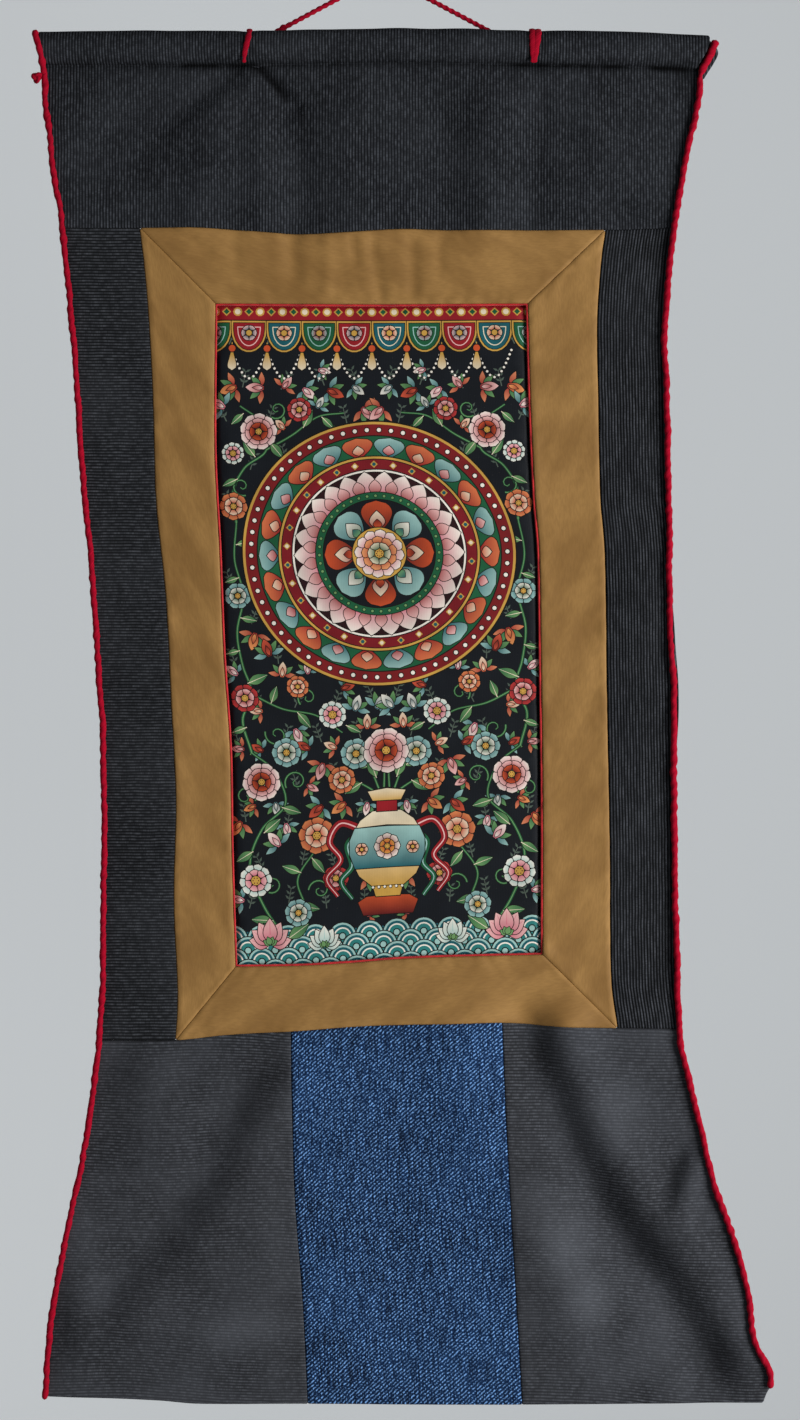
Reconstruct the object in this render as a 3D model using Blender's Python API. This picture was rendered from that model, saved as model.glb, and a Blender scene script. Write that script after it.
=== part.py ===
"""A painted cloth scroll: a small canvas in a mitred cotton frame, sewn into
dark ribbed cloth with a denim skirt panel, and hung by a yarn from a nail.

The frame of the part: the origin is where the yarn bears on its nail, +X is
the viewer's right, +Y points to the wall and +Z is up. A "drop" is a distance
below the nail, so a point at drop d lies at z = -d. All sizes are in metres.
"""

import math

import bmesh
import bpy
from mathutils import Vector

# Driving dimensions
CLOTH = 0.0012  # thickness of every sewn panel
SEAM_GAP = 0.0005  # between two panels that meet at a seam
CLEARANCE = 0.0003  # between a yarn and what it lies on
EDGE_YARN = 0.0032  # diameter of the yarn sewn down each side
HANGING_YARN = 0.0025
TIE_YARN = 0.0018  # pulled flat over the sleeve
PIPING = 0.0016  # width of the red lip round the painting
MESH_STEP = 0.0115  # size of one quad of a panel
HEM_TURN_UP = 0.020  # how far the skirt is folded up behind its hem
EDGE_POINTS = 84  # steps along each edge yarn
EDGE_REACH = 0.0009  # the cloth reaches this far past the middle of its edge yarn

# The middle of the yarn down each side: (drop, x)
LEFT_SIDE = (
    (0.0308, -0.1895), (0.0495, -0.1873), (0.0902, -0.1829), (0.1452, -0.1752),
    (0.2002, -0.1700), (0.2827, -0.1645), (0.3102, -0.1614), (0.3652, -0.1576),
    (0.4202, -0.1540), (0.5302, -0.1537), (0.5852, -0.1559), (0.6127, -0.1592),
    (0.6402, -0.1631), (0.6677, -0.1686), (0.6952, -0.1744), (0.7227, -0.1796),
    (0.7502, -0.1834), (0.7821, -0.1856),
)
RIGHT_SIDE = (
    (0.0495, 0.1755), (0.0627, 0.1744), (0.0902, 0.1686), (0.1177, 0.1631),
    (0.1452, 0.1592), (0.1727, 0.1562), (0.2002, 0.1546), (0.2277, 0.1560),
    (0.3102, 0.1573), (0.3652, 0.1581), (0.3927, 0.1599), (0.4477, 0.1598),
    (0.5302, 0.1614), (0.5852, 0.1634), (0.6127, 0.1697), (0.6402, 0.1760),
    (0.6677, 0.1829), (0.6952, 0.1930), (0.7227, 0.2002), (0.7502, 0.2041),
    (0.7678, 0.2123), (0.7760, 0.2125),
)
RIGHT_YARN_END = 0.7760  # the yarn stops here, and the corner of the hem is cut off below
# The cloth's own right edge below the yarn's end, and where it bulges out behind the yarn
RIGHT_CORNER = ((0.7760, 0.2125), (0.7800, 0.2104), (0.7830, 0.2094), (0.7850, 0.2082))
RIGHT_BULGE = {"drop": 0.385, "half_length": 0.040, "reach": 0.0018}

# Seams across the cloth: (x, drop)
TOP_SEAM = (
    (-0.1766, 0.1391), (-0.1337, 0.1386), (-0.1007, 0.1386), (-0.0732, 0.1403),
    (-0.0457, 0.1419), (-0.0181, 0.1408), (0.0094, 0.1391), (0.0369, 0.1397),
    (0.1221, 0.1397), (0.1612, 0.1386),
)
BOTTOM_SEAM = (
    (-0.1568, 0.5855), (-0.1141, 0.5852), (-0.0869, 0.5825), (-0.0457, 0.5803),
    (-0.0181, 0.5781), (0.0094, 0.5770), (0.0369, 0.5764), (0.0644, 0.5759),
    (0.0919, 0.5775), (0.1287, 0.5786), (0.1650, 0.5792),
)
HEM = (
    (-0.1865, 0.7808), (-0.1557, 0.7818), (-0.1227, 0.7833), (-0.1018, 0.7850),
    (-0.0413, 0.7850), (0.0204, 0.7855), (0.0765, 0.7855), (0.1414, 0.7850),
    (0.2082, 0.7844),
)

# Outer edges of the cotton frame, its opening, and the denim's edges: (drop, x)
FRAME_LEFT = (
    (0.1386, -0.1337), (0.1562, -0.1315), (0.1892, -0.1287), (0.2332, -0.1265),
    (0.2882, -0.1249), (0.3432, -0.1194), (0.3982, -0.1166), (0.4532, -0.1139),
    (0.5082, -0.1150), (0.5632, -0.1128), (0.5852, -0.1141),
)
FRAME_RIGHT = (
    (0.1397, 0.1221), (0.1562, 0.1199), (0.1892, 0.1177), (0.2332, 0.1183),
    (0.2882, 0.1196), (0.3157, 0.1219), (0.3982, 0.1232), (0.4807, 0.1247),
    (0.5522, 0.1254), (0.5786, 0.1287),
)
OPENING_LEFT = (
    (0.1799, -0.0924), (0.2607, -0.0929), (0.3157, -0.0902), (0.3707, -0.0880),
    (0.4257, -0.0844), (0.4807, -0.0835), (0.5451, -0.0814),
)
OPENING_RIGHT = (
    (0.1799, 0.0798), (0.2332, 0.0812), (0.2882, 0.0838), (0.3157, 0.0860),
    (0.3707, 0.0869), (0.4532, 0.0880), (0.5384, 0.0880),
)
DENIM_LEFT = (
    (0.5805, -0.0506), (0.6182, -0.0501), (0.6732, -0.0484), (0.7282, -0.0442),
    (0.7850, -0.0413),
)
DENIM_RIGHT = (
    (0.5759, 0.0655), (0.6182, 0.0671), (0.6732, 0.0699), (0.7282, 0.0732),
    (0.7855, 0.0765),
)
# The opening's top and bottom edges: (x, drop)
OPENING_TOP = ((-0.0924, 0.1799), (-0.0072, 0.1804), (0.0798, 0.1799))
OPENING_BOTTOM = (
    (-0.0814, 0.5451), (-0.0457, 0.5445), (-0.0181, 0.5429), (0.0094, 0.5407),
    (0.0369, 0.5396), (0.0880, 0.5384),
)

# The rod sleeve, as the cloth runs from the groove up its front, over the top
# and down its back: (y, drop, x of the left end, x of the right end)
SLEEVE = (
    (-0.0046, 0.0484, -0.1884, 0.1734),
    (-0.0095, 0.0470, -0.1885, 0.1736),
    (-0.0130, 0.0440, -0.1887, 0.1752),
    (-0.0142, 0.0400, -0.1890, 0.1772),
    (-0.0134, 0.0350, -0.1892, 0.1788),
    (-0.0108, 0.0319, -0.1893, 0.1792),
    (-0.0078, 0.0310, -0.1893, 0.1794),
    (-0.0046, 0.0317, -0.1893, 0.1795),
    (-0.0026, 0.0340, -0.1893, 0.1822),
    (-0.0022, 0.0385, -0.1892, 0.1846),
    (-0.0022, 0.0440, -0.1889, 0.1823),
    (-0.0022, 0.0500, -0.1884, 0.1785),
    (-0.0022, 0.0530, -0.1881, 0.1768),
)
SLEEVE_TOP = 0.0310  # the drop at which the rows above place the sleeve's top
# The sleeve's real top edge is a little bowed: (x, drop)
TOP_EDGE = (
    (-0.1890, 0.0314), (-0.0732, 0.0309), (0.0094, 0.0298), (0.0864, 0.0309),
    (0.1450, 0.0322), (0.1800, 0.0340),
)

# How far the cloth stands forward as it hangs, away from the folds: (drop, y)
HANG = (
    (0.0478, -0.0046), (0.0600, -0.0048), (0.1000, -0.0056), (0.1400, -0.0060),
    (0.3000, -0.0052), (0.4500, -0.0050), (0.5800, -0.0058), (0.7000, -0.0066),
    (0.7860, -0.0072),
)
# Soft folds: (half width, rise towards the viewer, points (x, drop) along the crest)
FOLDS = (
    (0.018, 0.0018, ((-0.178, 0.070), (-0.166, 0.220))),
    (0.014, -0.0018, ((-0.128, 0.064), (-0.160, 0.100))),
    (0.012, 0.0022, ((-0.086, 0.058), (-0.103, 0.131))),
    (0.010, -0.0024, ((-0.066, 0.056), (-0.054, 0.074), (-0.047, 0.101), (-0.046, 0.131))),
    (0.016, 0.0020, ((-0.020, 0.058), (-0.016, 0.130))),
    (0.014, -0.0018, ((0.030, 0.055), (0.033, 0.133))),
    (0.011, 0.0020, ((0.057, 0.056), (0.056, 0.130))),
    (0.010, -0.0024, ((0.083, 0.053), (0.083, 0.130))),
    (0.013, 0.0020, ((0.114, 0.058), (0.120, 0.104))),
    (0.010, -0.0014, ((0.100, 0.090), (0.130, 0.128))),
    (0.020, -0.0012, ((-0.135, 0.260), (-0.128, 0.330))),
    (0.022, 0.0012, ((-0.120, 0.400), (-0.122, 0.520))),
    (0.018, 0.0014, ((0.140, 0.300), (0.146, 0.440))),
    (0.018, 0.0024, ((-0.128, 0.598), (-0.124, 0.640))),
    (0.016, 0.0024, ((-0.167, 0.690), (-0.171, 0.765))),
    (0.014, 0.0024, ((-0.051, 0.607), (-0.069, 0.636), (-0.084, 0.673), (-0.110, 0.706), (-0.136, 0.732))),
    (0.014, -0.0026, ((-0.066, 0.597), (-0.085, 0.626), (-0.099, 0.662), (-0.124, 0.695), (-0.150, 0.721))),
    (0.017, 0.0022, ((0.038, 0.584), (0.050, 0.645))),
    (0.020, -0.0014, ((0.005, 0.640), (0.010, 0.760))),
    (0.014, -0.0050, (
        (0.080, 0.580), (0.085, 0.602), (0.097, 0.632), (0.112, 0.662),
        (0.127, 0.689), (0.146, 0.711), (0.163, 0.735), (0.182, 0.768),
    )),
    (0.014, 0.0042, (
        (0.100, 0.580), (0.104, 0.594), (0.115, 0.623), (0.130, 0.652),
        (0.143, 0.677), (0.162, 0.699), (0.180, 0.724), (0.199, 0.758),
    )),
    (0.020, 0.0014, ((0.078, 0.672), (0.098, 0.735))),
)
FOLDS_START = (0.052, 0.080)  # the folds fade in between these drops, below the sleeve

# The hanging yarn: where each end meets a tie behind the sleeve, (x, drop)
NAIL_BEND = 0.005  # radius at which the yarn bends over the nail
YARN_START = (-0.0701, 0.0354)
YARN_END = (0.0787, 0.0397)
# Each tie: x where it crosses the top, x where it dives into the groove, and its width
TIES = {"tie_left": (-0.0732, -0.0760, 0.0032), "tie_right": (0.0835, 0.0829, 0.0064)}
LEFT_YARN_TOP = (-0.0162, 0.0318)  # y and drop of the left edge yarn's upper end
# Where the right edge yarn runs up inside the sleeve's mouth: (x, y, drop)
MOUTH_RUN = (
    (0.1762, -0.0072, 0.0495), (0.1774, -0.0056, 0.0465), (0.1789, -0.0048, 0.0430),
    (0.1803, -0.0051, 0.0395), (0.1815, -0.0060, 0.0368), (0.1821, -0.0068, 0.0355),
)
KNOT_AT = (-0.1908, -0.0072, 0.0561)  # x, y and drop of the knot on the left edge
KNOT_SIZE = (0.0040, 0.0040, 0.0062)

COLOURS = {
    "top_panel": (0.035, 0.037, 0.043),
    "border": (0.028, 0.030, 0.035),
    "frame": (0.292, 0.184, 0.056),
    "canvas": (0.090, 0.070, 0.062),
    "yarn": (0.380, 0.006, 0.020),
    "piping": (0.235, 0.010, 0.012),
    "skirt": (0.052, 0.053, 0.056),
    "denim": (0.022, 0.055, 0.130),
}


def clear_scene():
    for item in list(bpy.data.objects):
        bpy.data.objects.remove(item)


def material(name, colour):
    made = bpy.data.materials.get(name)
    if made is None:
        made = bpy.data.materials.new(name)
        made.use_nodes = True
        shader = made.node_tree.nodes["Principled BSDF"]
        shader.inputs["Base Color"].default_value = (*colour, 1.0)
        shader.inputs["Roughness"].default_value = 0.9
        shader.inputs["Metallic"].default_value = 0.0
    return made


def smooth(table, at):
    """The second column of a table at a value of its first, on a smooth curve through the rows."""
    last = len(table) - 1
    row = next((i for i in range(last) if at < table[i + 1][0]), last - 1)

    def slope(i):
        low, high = table[max(i - 1, 0)], table[min(i + 1, last)]
        return (high[1] - low[1]) / (high[0] - low[0])

    (a, value_a), (b, value_b) = table[row], table[row + 1]
    span = b - a
    t = min(max((at - a) / span, 0.0), 1.0)
    return (
        value_a * (1 + 2 * t) * (1 - t) ** 2
        + value_b * t * t * (3 - 2 * t)
        + span * slope(row) * t * (1 - t) ** 2
        - span * slope(row + 1) * t * t * (1 - t)
    )


def soft_step(low, high, value):
    t = min(max((value - low) / (high - low), 0.0), 1.0)
    return t * t * (3 - 2 * t)


def distance_to_path(x, drop, path):
    """The distance from a point to a run of straight stretches."""
    best = math.inf
    here = Vector((x, drop))
    for start, end in zip(path, path[1:]):
        a = Vector(start)
        along = Vector(end) - a
        share = min(max((here - a).dot(along) / along.length_squared, 0.0), 1.0)
        best = min(best, (here - a - along * share).length)
    return best


def cloth_y(x, drop):
    """The y of the middle of the hanging cloth."""
    folded = sum(
        rise * math.exp(-((distance_to_path(x, drop, path) / half_width) ** 2))
        for half_width, rise, path in FOLDS
    )
    return smooth(HANG, drop) - folded * soft_step(*FOLDS_START, drop)


def left_edge(drop):
    return smooth(LEFT_SIDE, drop) - EDGE_REACH


def right_edge(drop):
    if drop > RIGHT_YARN_END:
        return smooth(RIGHT_CORNER, drop)
    bulge = math.exp(-(((drop - RIGHT_BULGE["drop"]) / RIGHT_BULGE["half_length"]) ** 4))
    return smooth(RIGHT_SIDE, drop) + EDGE_REACH + RIGHT_BULGE["reach"] * bulge


def side(edge, top, bottom):
    """A curve down a side: a function from 0..1 to (x, drop)."""
    return lambda t: Vector((edge(top + (bottom - top) * t), top + (bottom - top) * t))


def side_of(table, top, bottom):
    return side(lambda drop: smooth(table, drop), top, bottom)


def across(table, left, right):
    """A curve across the cloth: a function from 0..1 to (x, drop)."""
    return lambda t: Vector((left + (right - left) * t, smooth(table, left + (right - left) * t)))


def straight(start, end):
    return lambda t: Vector(start).lerp(Vector(end), t)


def patch(left, right, top, bottom, u, v):
    """A point of the surface that four curves bound, at u across and v down."""
    sides = left(v).lerp(right(v), u) + top(u).lerp(bottom(u), v)
    corners = top(0).lerp(top(1), u).lerp(bottom(0).lerp(bottom(1), u), v)
    return sides - corners


def grid_object(name, rows, colour):
    """A sheet through rows of 3-D points, given its thickness by a Solidify modifier."""
    shell = bmesh.new()
    verts = [[shell.verts.new(point) for point in row] for row in rows]
    for upper, lower in zip(verts, verts[1:]):
        for i in range(len(upper) - 1):
            shell.faces.new((upper[i], lower[i], lower[i + 1], upper[i + 1]))
    bmesh.ops.recalc_face_normals(shell, faces=shell.faces[:])
    mesh = bpy.data.meshes.new(name)
    shell.to_mesh(mesh)
    shell.free()
    mesh.shade_smooth()
    mesh.set_sharp_from_angle(angle=math.radians(50))
    mesh.materials.append(material(*colour))
    made = bpy.data.objects.new(name, mesh)
    bpy.context.scene.collection.objects.link(made)
    thickness = made.modifiers.new("cloth thickness", "SOLIDIFY")
    thickness.thickness = CLOTH
    thickness.offset = 0.0
    return made


def steps(length):
    return max(2, round(length / MESH_STEP))


def turned_up_hem(hem, place, across_cloth, height):
    """Rows that fold the cloth up behind its lower edge."""
    layer = CLOTH + SEAM_GAP
    rows = [[point + Vector((0, layer / 2, -layer / 2)) for point in hem]]
    for lift in (0.0, HEM_TURN_UP / 2, HEM_TURN_UP):
        behind = [place(u, 1 - (lift + SEAM_GAP / 2) / height) for u in across_cloth]
        rows.append([Vector((x, cloth_y(x, drop) + layer, -drop)) for x, drop in behind])
    return rows


def panel(name, left, right, top, bottom, colour, turn_up=False):
    """A flat cut of cloth between four seams or edges, lying in the folds of the hanging."""
    width = ((left(0.5) - right(0.5)).length + (top(0) - top(1)).length) / 2
    height = ((top(0.5) - bottom(0.5)).length + (left(0) - left(1)).length) / 2
    columns, lines = steps(width), steps(height)
    inset_u, inset_v = SEAM_GAP / 2 / width, SEAM_GAP / 2 / height
    across_cloth = [inset_u + (1 - 2 * inset_u) * i / columns for i in range(columns + 1)]
    down_cloth = [inset_v + (1 - 2 * inset_v) * j / lines for j in range(lines + 1)]
    flat = [[patch(left, right, top, bottom, u, v) for u in across_cloth] for v in down_cloth]
    rows = [[Vector((x, cloth_y(x, drop), -drop)) for x, drop in row] for row in flat]
    if turn_up:
        def place(u, v):
            return patch(left, right, top, bottom, u, v)

        rows += turned_up_hem(rows[-1], place, across_cloth, height)
    return grid_object(name, rows, colour)


def top_panel():
    """The heading cloth: a flat part, then the rod sleeve that its top is folded into."""
    columns = steps(0.362)
    flat_lines = 8
    rows = []
    for line in range(flat_lines):
        row = []
        for i in range(columns + 1):
            share = line / flat_lines
            seam_drop = TOP_SEAM[0][1]
            groove = SLEEVE[0]
            level = seam_drop + (groove[1] - seam_drop) * share
            x = left_edge(level) + (right_edge(level) - left_edge(level)) * i / columns
            bow = smooth(TOP_EDGE, x) - SLEEVE_TOP
            start = smooth(TOP_SEAM, x) - SEAM_GAP / 2
            drop = start + (groove[1] + bow - start) * share
            row.append(Vector((x, cloth_y(x, drop), -drop)))
        rows.append(row)
    for y, drop, left, right in SLEEVE:
        row = []
        for i in range(columns + 1):
            x = left + (right - left) * i / columns
            row.append(Vector((x, y, -(drop + smooth(TOP_EDGE, x) - SLEEVE_TOP))))
        rows.append(row)
    return grid_object("top_panel", rows, ("dark ribbed cloth", COLOURS["top_panel"]))


def borders():
    """The two long strips of ribbed cloth beside the frame."""
    cloth = ("dark border cloth", COLOURS["border"])
    top, bottom = TOP_SEAM[1][1], BOTTOM_SEAM[1][1]
    corner_top, corner_bottom = FRAME_LEFT[0], FRAME_LEFT[-1]
    panel(
        "border_left",
        side(left_edge, top, bottom),
        side_of(FRAME_LEFT, corner_top[0], corner_bottom[0]),
        across(TOP_SEAM, left_edge(top), corner_top[1]),
        across(BOTTOM_SEAM, left_edge(bottom), corner_bottom[1]),
        cloth,
    )
    corner_top, corner_bottom = FRAME_RIGHT[0], FRAME_RIGHT[-1]
    top, bottom = TOP_SEAM[-1][1], BOTTOM_SEAM[-1][1]
    panel(
        "border_right",
        side_of(FRAME_RIGHT, corner_top[0], corner_bottom[0]),
        side(right_edge, top, bottom),
        across(TOP_SEAM, corner_top[1], right_edge(top)),
        across(BOTTOM_SEAM, corner_bottom[1], right_edge(bottom)),
        cloth,
    )


def frame_corners():
    """The outer and inner corners of the cotton frame, as (x, drop)."""
    corners = []
    for left, right in ((FRAME_LEFT, FRAME_RIGHT), (OPENING_LEFT, OPENING_RIGHT)):
        ends = (left[0], right[0], left[-1], right[-1])
        corners.append([(x, drop) for drop, x in ends])
    return corners


def cotton_frame():
    """Four strips of tan cotton with mitred corners."""
    cotton = ("tan cotton", COLOURS["frame"])
    outer, inner = frame_corners()
    mitre = [straight(a, b) for a, b in zip(outer, inner)]
    back = [straight(b, a) for a, b in zip(outer, inner)]
    panel("frame_top", mitre[0], mitre[1],
          across(TOP_SEAM, outer[0][0], outer[1][0]),
          across(OPENING_TOP, inner[0][0], inner[1][0]), cotton)
    panel("frame_bottom", back[2], back[3],
          across(OPENING_BOTTOM, inner[2][0], inner[3][0]),
          across(BOTTOM_SEAM, outer[2][0], outer[3][0]), cotton)
    panel("frame_left",
          side_of(FRAME_LEFT, outer[0][1], outer[2][1]),
          side_of(OPENING_LEFT, inner[0][1], inner[2][1]),
          mitre[0], straight(outer[2], inner[2]), cotton)
    panel("frame_right",
          side_of(OPENING_RIGHT, inner[1][1], inner[3][1]),
          side_of(FRAME_RIGHT, outer[1][1], outer[3][1]),
          straight(inner[1], outer[1]), straight(inner[3], outer[3]), cotton)


def opening_point(u, v, inset):
    """A point of the frame's opening, drawn in from its edge by an inset."""
    top, bottom = OPENING_LEFT[0][0], OPENING_LEFT[-1][0]
    right_bottom = OPENING_RIGHT[-1][0]
    width, height = 0.171, 0.362
    u = inset / width + (1 - 2 * inset / width) * u
    v = inset / height + (1 - 2 * inset / height) * v
    return patch(
        side_of(OPENING_LEFT, top, bottom),
        side_of(OPENING_RIGHT, top, right_bottom),
        across(OPENING_TOP, OPENING_TOP[0][0], OPENING_TOP[-1][0]),
        across(OPENING_BOTTOM, OPENING_BOTTOM[0][0], OPENING_BOTTOM[-1][0]),
        u, v,
    )


def painted_canvas():
    inset = PIPING + 2 * CLEARANCE
    columns, lines = 10, 22
    rows = []
    for j in range(lines + 1):
        flat = [opening_point(i / columns, j / lines, inset) for i in range(columns + 1)]
        rows.append([Vector((x, cloth_y(x, drop), -drop)) for x, drop in flat])
    grid_object("painted_canvas", rows, ("painted canvas", COLOURS["canvas"]))


def painting_piping():
    """The narrow red lip of cloth all round the painting, as one ring of square section."""
    lines = [(i / 14, 0.0) for i in range(14)] + [(1.0, i / 30) for i in range(30)]
    lines += [(1 - u, 1 - v) for u, v in lines]
    ring = bmesh.new()
    loops = []
    for inset in (CLEARANCE, CLEARANCE + PIPING):
        front, back = [], []
        for u, v in lines:
            x, drop = opening_point(u, v, inset)
            y = cloth_y(x, drop)
            front.append(ring.verts.new((x, y - CLOTH / 2 - 0.0003, -drop)))
            back.append(ring.verts.new((x, y + CLOTH / 2, -drop)))
        loops += [front, back]
    outer_front, outer_back, inner_front, inner_back = loops
    for one, two in ((outer_front, inner_front), (inner_front, inner_back),
                     (inner_back, outer_back), (outer_back, outer_front)):
        for i in range(len(lines)):
            j = (i + 1) % len(lines)
            ring.faces.new((one[i], one[j], two[j], two[i]))
    bmesh.ops.recalc_face_normals(ring, faces=ring.faces[:])
    mesh = bpy.data.meshes.new("painting_piping")
    ring.to_mesh(mesh)
    ring.free()
    mesh.materials.append(material("red piping", COLOURS["piping"]))
    bpy.context.scene.collection.objects.link(bpy.data.objects.new("painting_piping", mesh))


def skirt():
    """The three panels below the painting, with their hem turned up behind."""
    dark = ("dark skirt cloth", COLOURS["skirt"])
    bottom_left, bottom_right = HEM[0][1], HEM[-1][1]
    seam_left, seam_right = BOTTOM_SEAM[0][1], BOTTOM_SEAM[-1][1]
    denim_left = side_of(DENIM_LEFT, DENIM_LEFT[0][0], DENIM_LEFT[-1][0])
    denim_right = side_of(DENIM_RIGHT, DENIM_RIGHT[0][0], DENIM_RIGHT[-1][0])
    top_left, top_right = DENIM_LEFT[0][1], DENIM_RIGHT[0][1]
    hem_left, hem_right = DENIM_LEFT[-1][1], DENIM_RIGHT[-1][1]
    panel("skirt_left", side(left_edge, seam_left, bottom_left), denim_left,
          across(BOTTOM_SEAM, left_edge(seam_left), top_left),
          across(HEM, left_edge(bottom_left), hem_left), dark, turn_up=True)
    panel("skirt_denim", denim_left, denim_right,
          across(BOTTOM_SEAM, top_left, top_right),
          across(HEM, hem_left, hem_right), ("blue denim", COLOURS["denim"]), turn_up=True)
    panel("skirt_right", denim_right, side(right_edge, seam_right, bottom_right),
          across(BOTTOM_SEAM, top_right, right_edge(seam_right)),
          across(HEM, hem_right, HEM[-1][0]), dark, turn_up=True)


def yarn(name, points, diameter, colour):
    """A round yarn along points, as a bevelled curve with its ends closed."""
    curve = bpy.data.curves.new(name, "CURVE")
    curve.dimensions = "3D"
    spline = curve.splines.new("POLY")
    spline.points.add(len(points) - 1)
    for place, point in zip(spline.points, points):
        place.co = (*point, 1.0)
    curve.bevel_depth = diameter / 2
    curve.bevel_resolution = 2
    curve.use_fill_caps = True
    curve.materials.append(material(*colour))
    made = bpy.data.objects.new(name, curve)
    bpy.context.scene.collection.objects.link(made)
    return made


def sleeve_wrap(offset, first, last):
    """Points (y, drop) at a distance outside the sleeve, from one of its rows to another."""
    points = []
    for i in range(first, last + 1):
        before = Vector(SLEEVE[max(i - 1, 0)][:2])
        after = Vector(SLEEVE[min(i + 1, len(SLEEVE) - 1)][:2])
        along = (after - before).normalized()
        outwards = Vector((along.y, -along.x))
        points.append(Vector(SLEEVE[i][:2]) + outwards * offset)
    return points


def edge_line(side_table, lowest, highest, stand_off):
    """Points up a side, in front of the cloth's edge."""
    points = []
    for i in range(EDGE_POINTS + 1):
        drop = lowest + (highest - lowest) * i / EDGE_POINTS
        x = smooth(side_table, drop)
        points.append(Vector((x, cloth_y(x, drop) - stand_off, -drop)))
    return points


def edge_yarns():
    """The red yarn down each side, lying on the front of the cloth at its very edge."""
    stand_off = CLOTH / 2 + CLEARANCE + EDGE_YARN / 2
    colour = ("red yarn", COLOURS["yarn"])
    points = edge_line(LEFT_SIDE, LEFT_SIDE[-1][0], 0.0525, stand_off)
    for y, drop in sleeve_wrap(stand_off, 2, 4) + [Vector(LEFT_YARN_TOP)]:
        points.append(Vector((smooth(LEFT_SIDE, drop), y, -drop)))
    yarn("edge_yarn_left", points, EDGE_YARN, colour)
    points = edge_line(RIGHT_SIDE, RIGHT_YARN_END, 0.0530, stand_off)
    points += [Vector((x, y, -drop)) for x, y, drop in MOUTH_RUN]
    yarn("edge_yarn_right", points, EDGE_YARN, colour)


def edge_knot():
    """The small knot that sticks out of the left edge yarn."""
    x, y, drop = KNOT_AT
    ball = bmesh.new()
    bmesh.ops.create_icosphere(ball, subdivisions=2, radius=0.5)
    bmesh.ops.scale(ball, vec=KNOT_SIZE, verts=ball.verts)
    mesh = bpy.data.meshes.new("edge_knot")
    ball.to_mesh(mesh)
    ball.free()
    mesh.shade_smooth()
    mesh.materials.append(material("red yarn", COLOURS["yarn"]))
    made = bpy.data.objects.new("edge_knot", mesh)
    made.location = (x, y, -drop)
    bpy.context.scene.collection.objects.link(made)


def ties():
    """The yarns that bind the rod through the cloth, over the sleeve from groove to groove."""
    stand_off = CLOTH / 2 + CLEARANCE + TIE_YARN / 2
    wrap = sleeve_wrap(stand_off, 1, 10)
    wrap[0] = Vector((wrap[1].x + 0.0022, 0.0490))
    for name, (top_x, groove_x, width) in TIES.items():
        spread = width / TIE_YARN
        bow = smooth(TOP_EDGE, top_x) - SLEEVE_TOP
        points = []
        for y, drop in wrap:
            x = top_x + (groove_x - top_x) * soft_step(SLEEVE_TOP, 0.0490, drop)
            points.append(Vector((x / spread, y, -(drop + bow))))
        made = yarn(name, points, TIE_YARN, ("red yarn", COLOURS["yarn"]))
        made.scale.x = spread


def hanging_yarn():
    """The yarn from one tie up over the nail and down to the other, held taut."""
    peak = Vector((0.0, -HANGING_YARN / 2))
    spread = (Vector(YARN_START) - peak).angle(Vector(YARN_END) - peak)
    half_turn = (math.pi - spread) / 2
    corner = peak - Vector((0.0, NAIL_BEND * (1 / math.cos(half_turn) - 1)))
    reach = NAIL_BEND * math.tan(half_turn)
    bend_start = corner + (Vector(YARN_START) - corner).normalized() * reach
    bend_end = corner + (Vector(YARN_END) - corner).normalized() * reach
    line = [Vector(YARN_START).lerp(bend_start, i / 9) for i in range(10)]
    for t in (i / 8 for i in range(1, 8)):
        line.append(bend_start.lerp(corner, t).lerp(corner.lerp(bend_end, t), t))
    line += [bend_end.lerp(Vector(YARN_END), i / 10) for i in range(11)]
    points = [Vector((x, 0.0, -drop)) for x, drop in line]
    yarn("hanging_yarn", points, HANGING_YARN, ("red yarn", COLOURS["yarn"]))


def main():
    clear_scene()
    top_panel()
    borders()
    cotton_frame()
    painted_canvas()
    painting_piping()
    skirt()
    edge_yarns()
    edge_knot()
    ties()
    hanging_yarn()


main()
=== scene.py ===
# %% [markdown]
# # A small painted scroll that hangs by a yarn
# The real thing is patchwork: a painted canvas in a mitred cotton frame, sewn
# into dark ribbed cloth with one denim panel, edged and hung with red yarn.
# The solids of every piece are already fixed in a frame; this lesson dresses
# them. Loading the frame first means that each piece is placed by real sizes.

# %% Load the fixed frame
import math
import random

import bpy
import numpy as np
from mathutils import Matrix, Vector, noise
from mathutils.geometry import delaunay_2d_cdt


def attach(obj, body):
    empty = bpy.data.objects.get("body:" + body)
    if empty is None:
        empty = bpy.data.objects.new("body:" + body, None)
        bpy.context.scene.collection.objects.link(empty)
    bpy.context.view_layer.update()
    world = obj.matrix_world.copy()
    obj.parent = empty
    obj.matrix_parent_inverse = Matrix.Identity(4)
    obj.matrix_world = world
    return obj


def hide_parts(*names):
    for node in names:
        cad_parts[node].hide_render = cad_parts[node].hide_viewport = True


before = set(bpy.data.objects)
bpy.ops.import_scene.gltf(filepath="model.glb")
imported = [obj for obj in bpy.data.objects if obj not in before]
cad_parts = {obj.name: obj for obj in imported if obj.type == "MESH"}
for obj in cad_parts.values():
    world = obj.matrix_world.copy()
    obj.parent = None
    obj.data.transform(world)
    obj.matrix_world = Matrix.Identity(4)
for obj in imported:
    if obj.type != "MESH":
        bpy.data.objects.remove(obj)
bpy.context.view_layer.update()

scene = bpy.context.scene

# %% [markdown]
# ## The camera
# The picture was taken straight on, so its 800 by 1420 pixels are a rectangle
# of the cloth's own plane, 0.55 mm to a pixel. Placing the camera by that
# rectangle matches the view without guessing: the lens follows from the
# distance. The edges show hardly any perspective, which 1.7 m gives.

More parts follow.
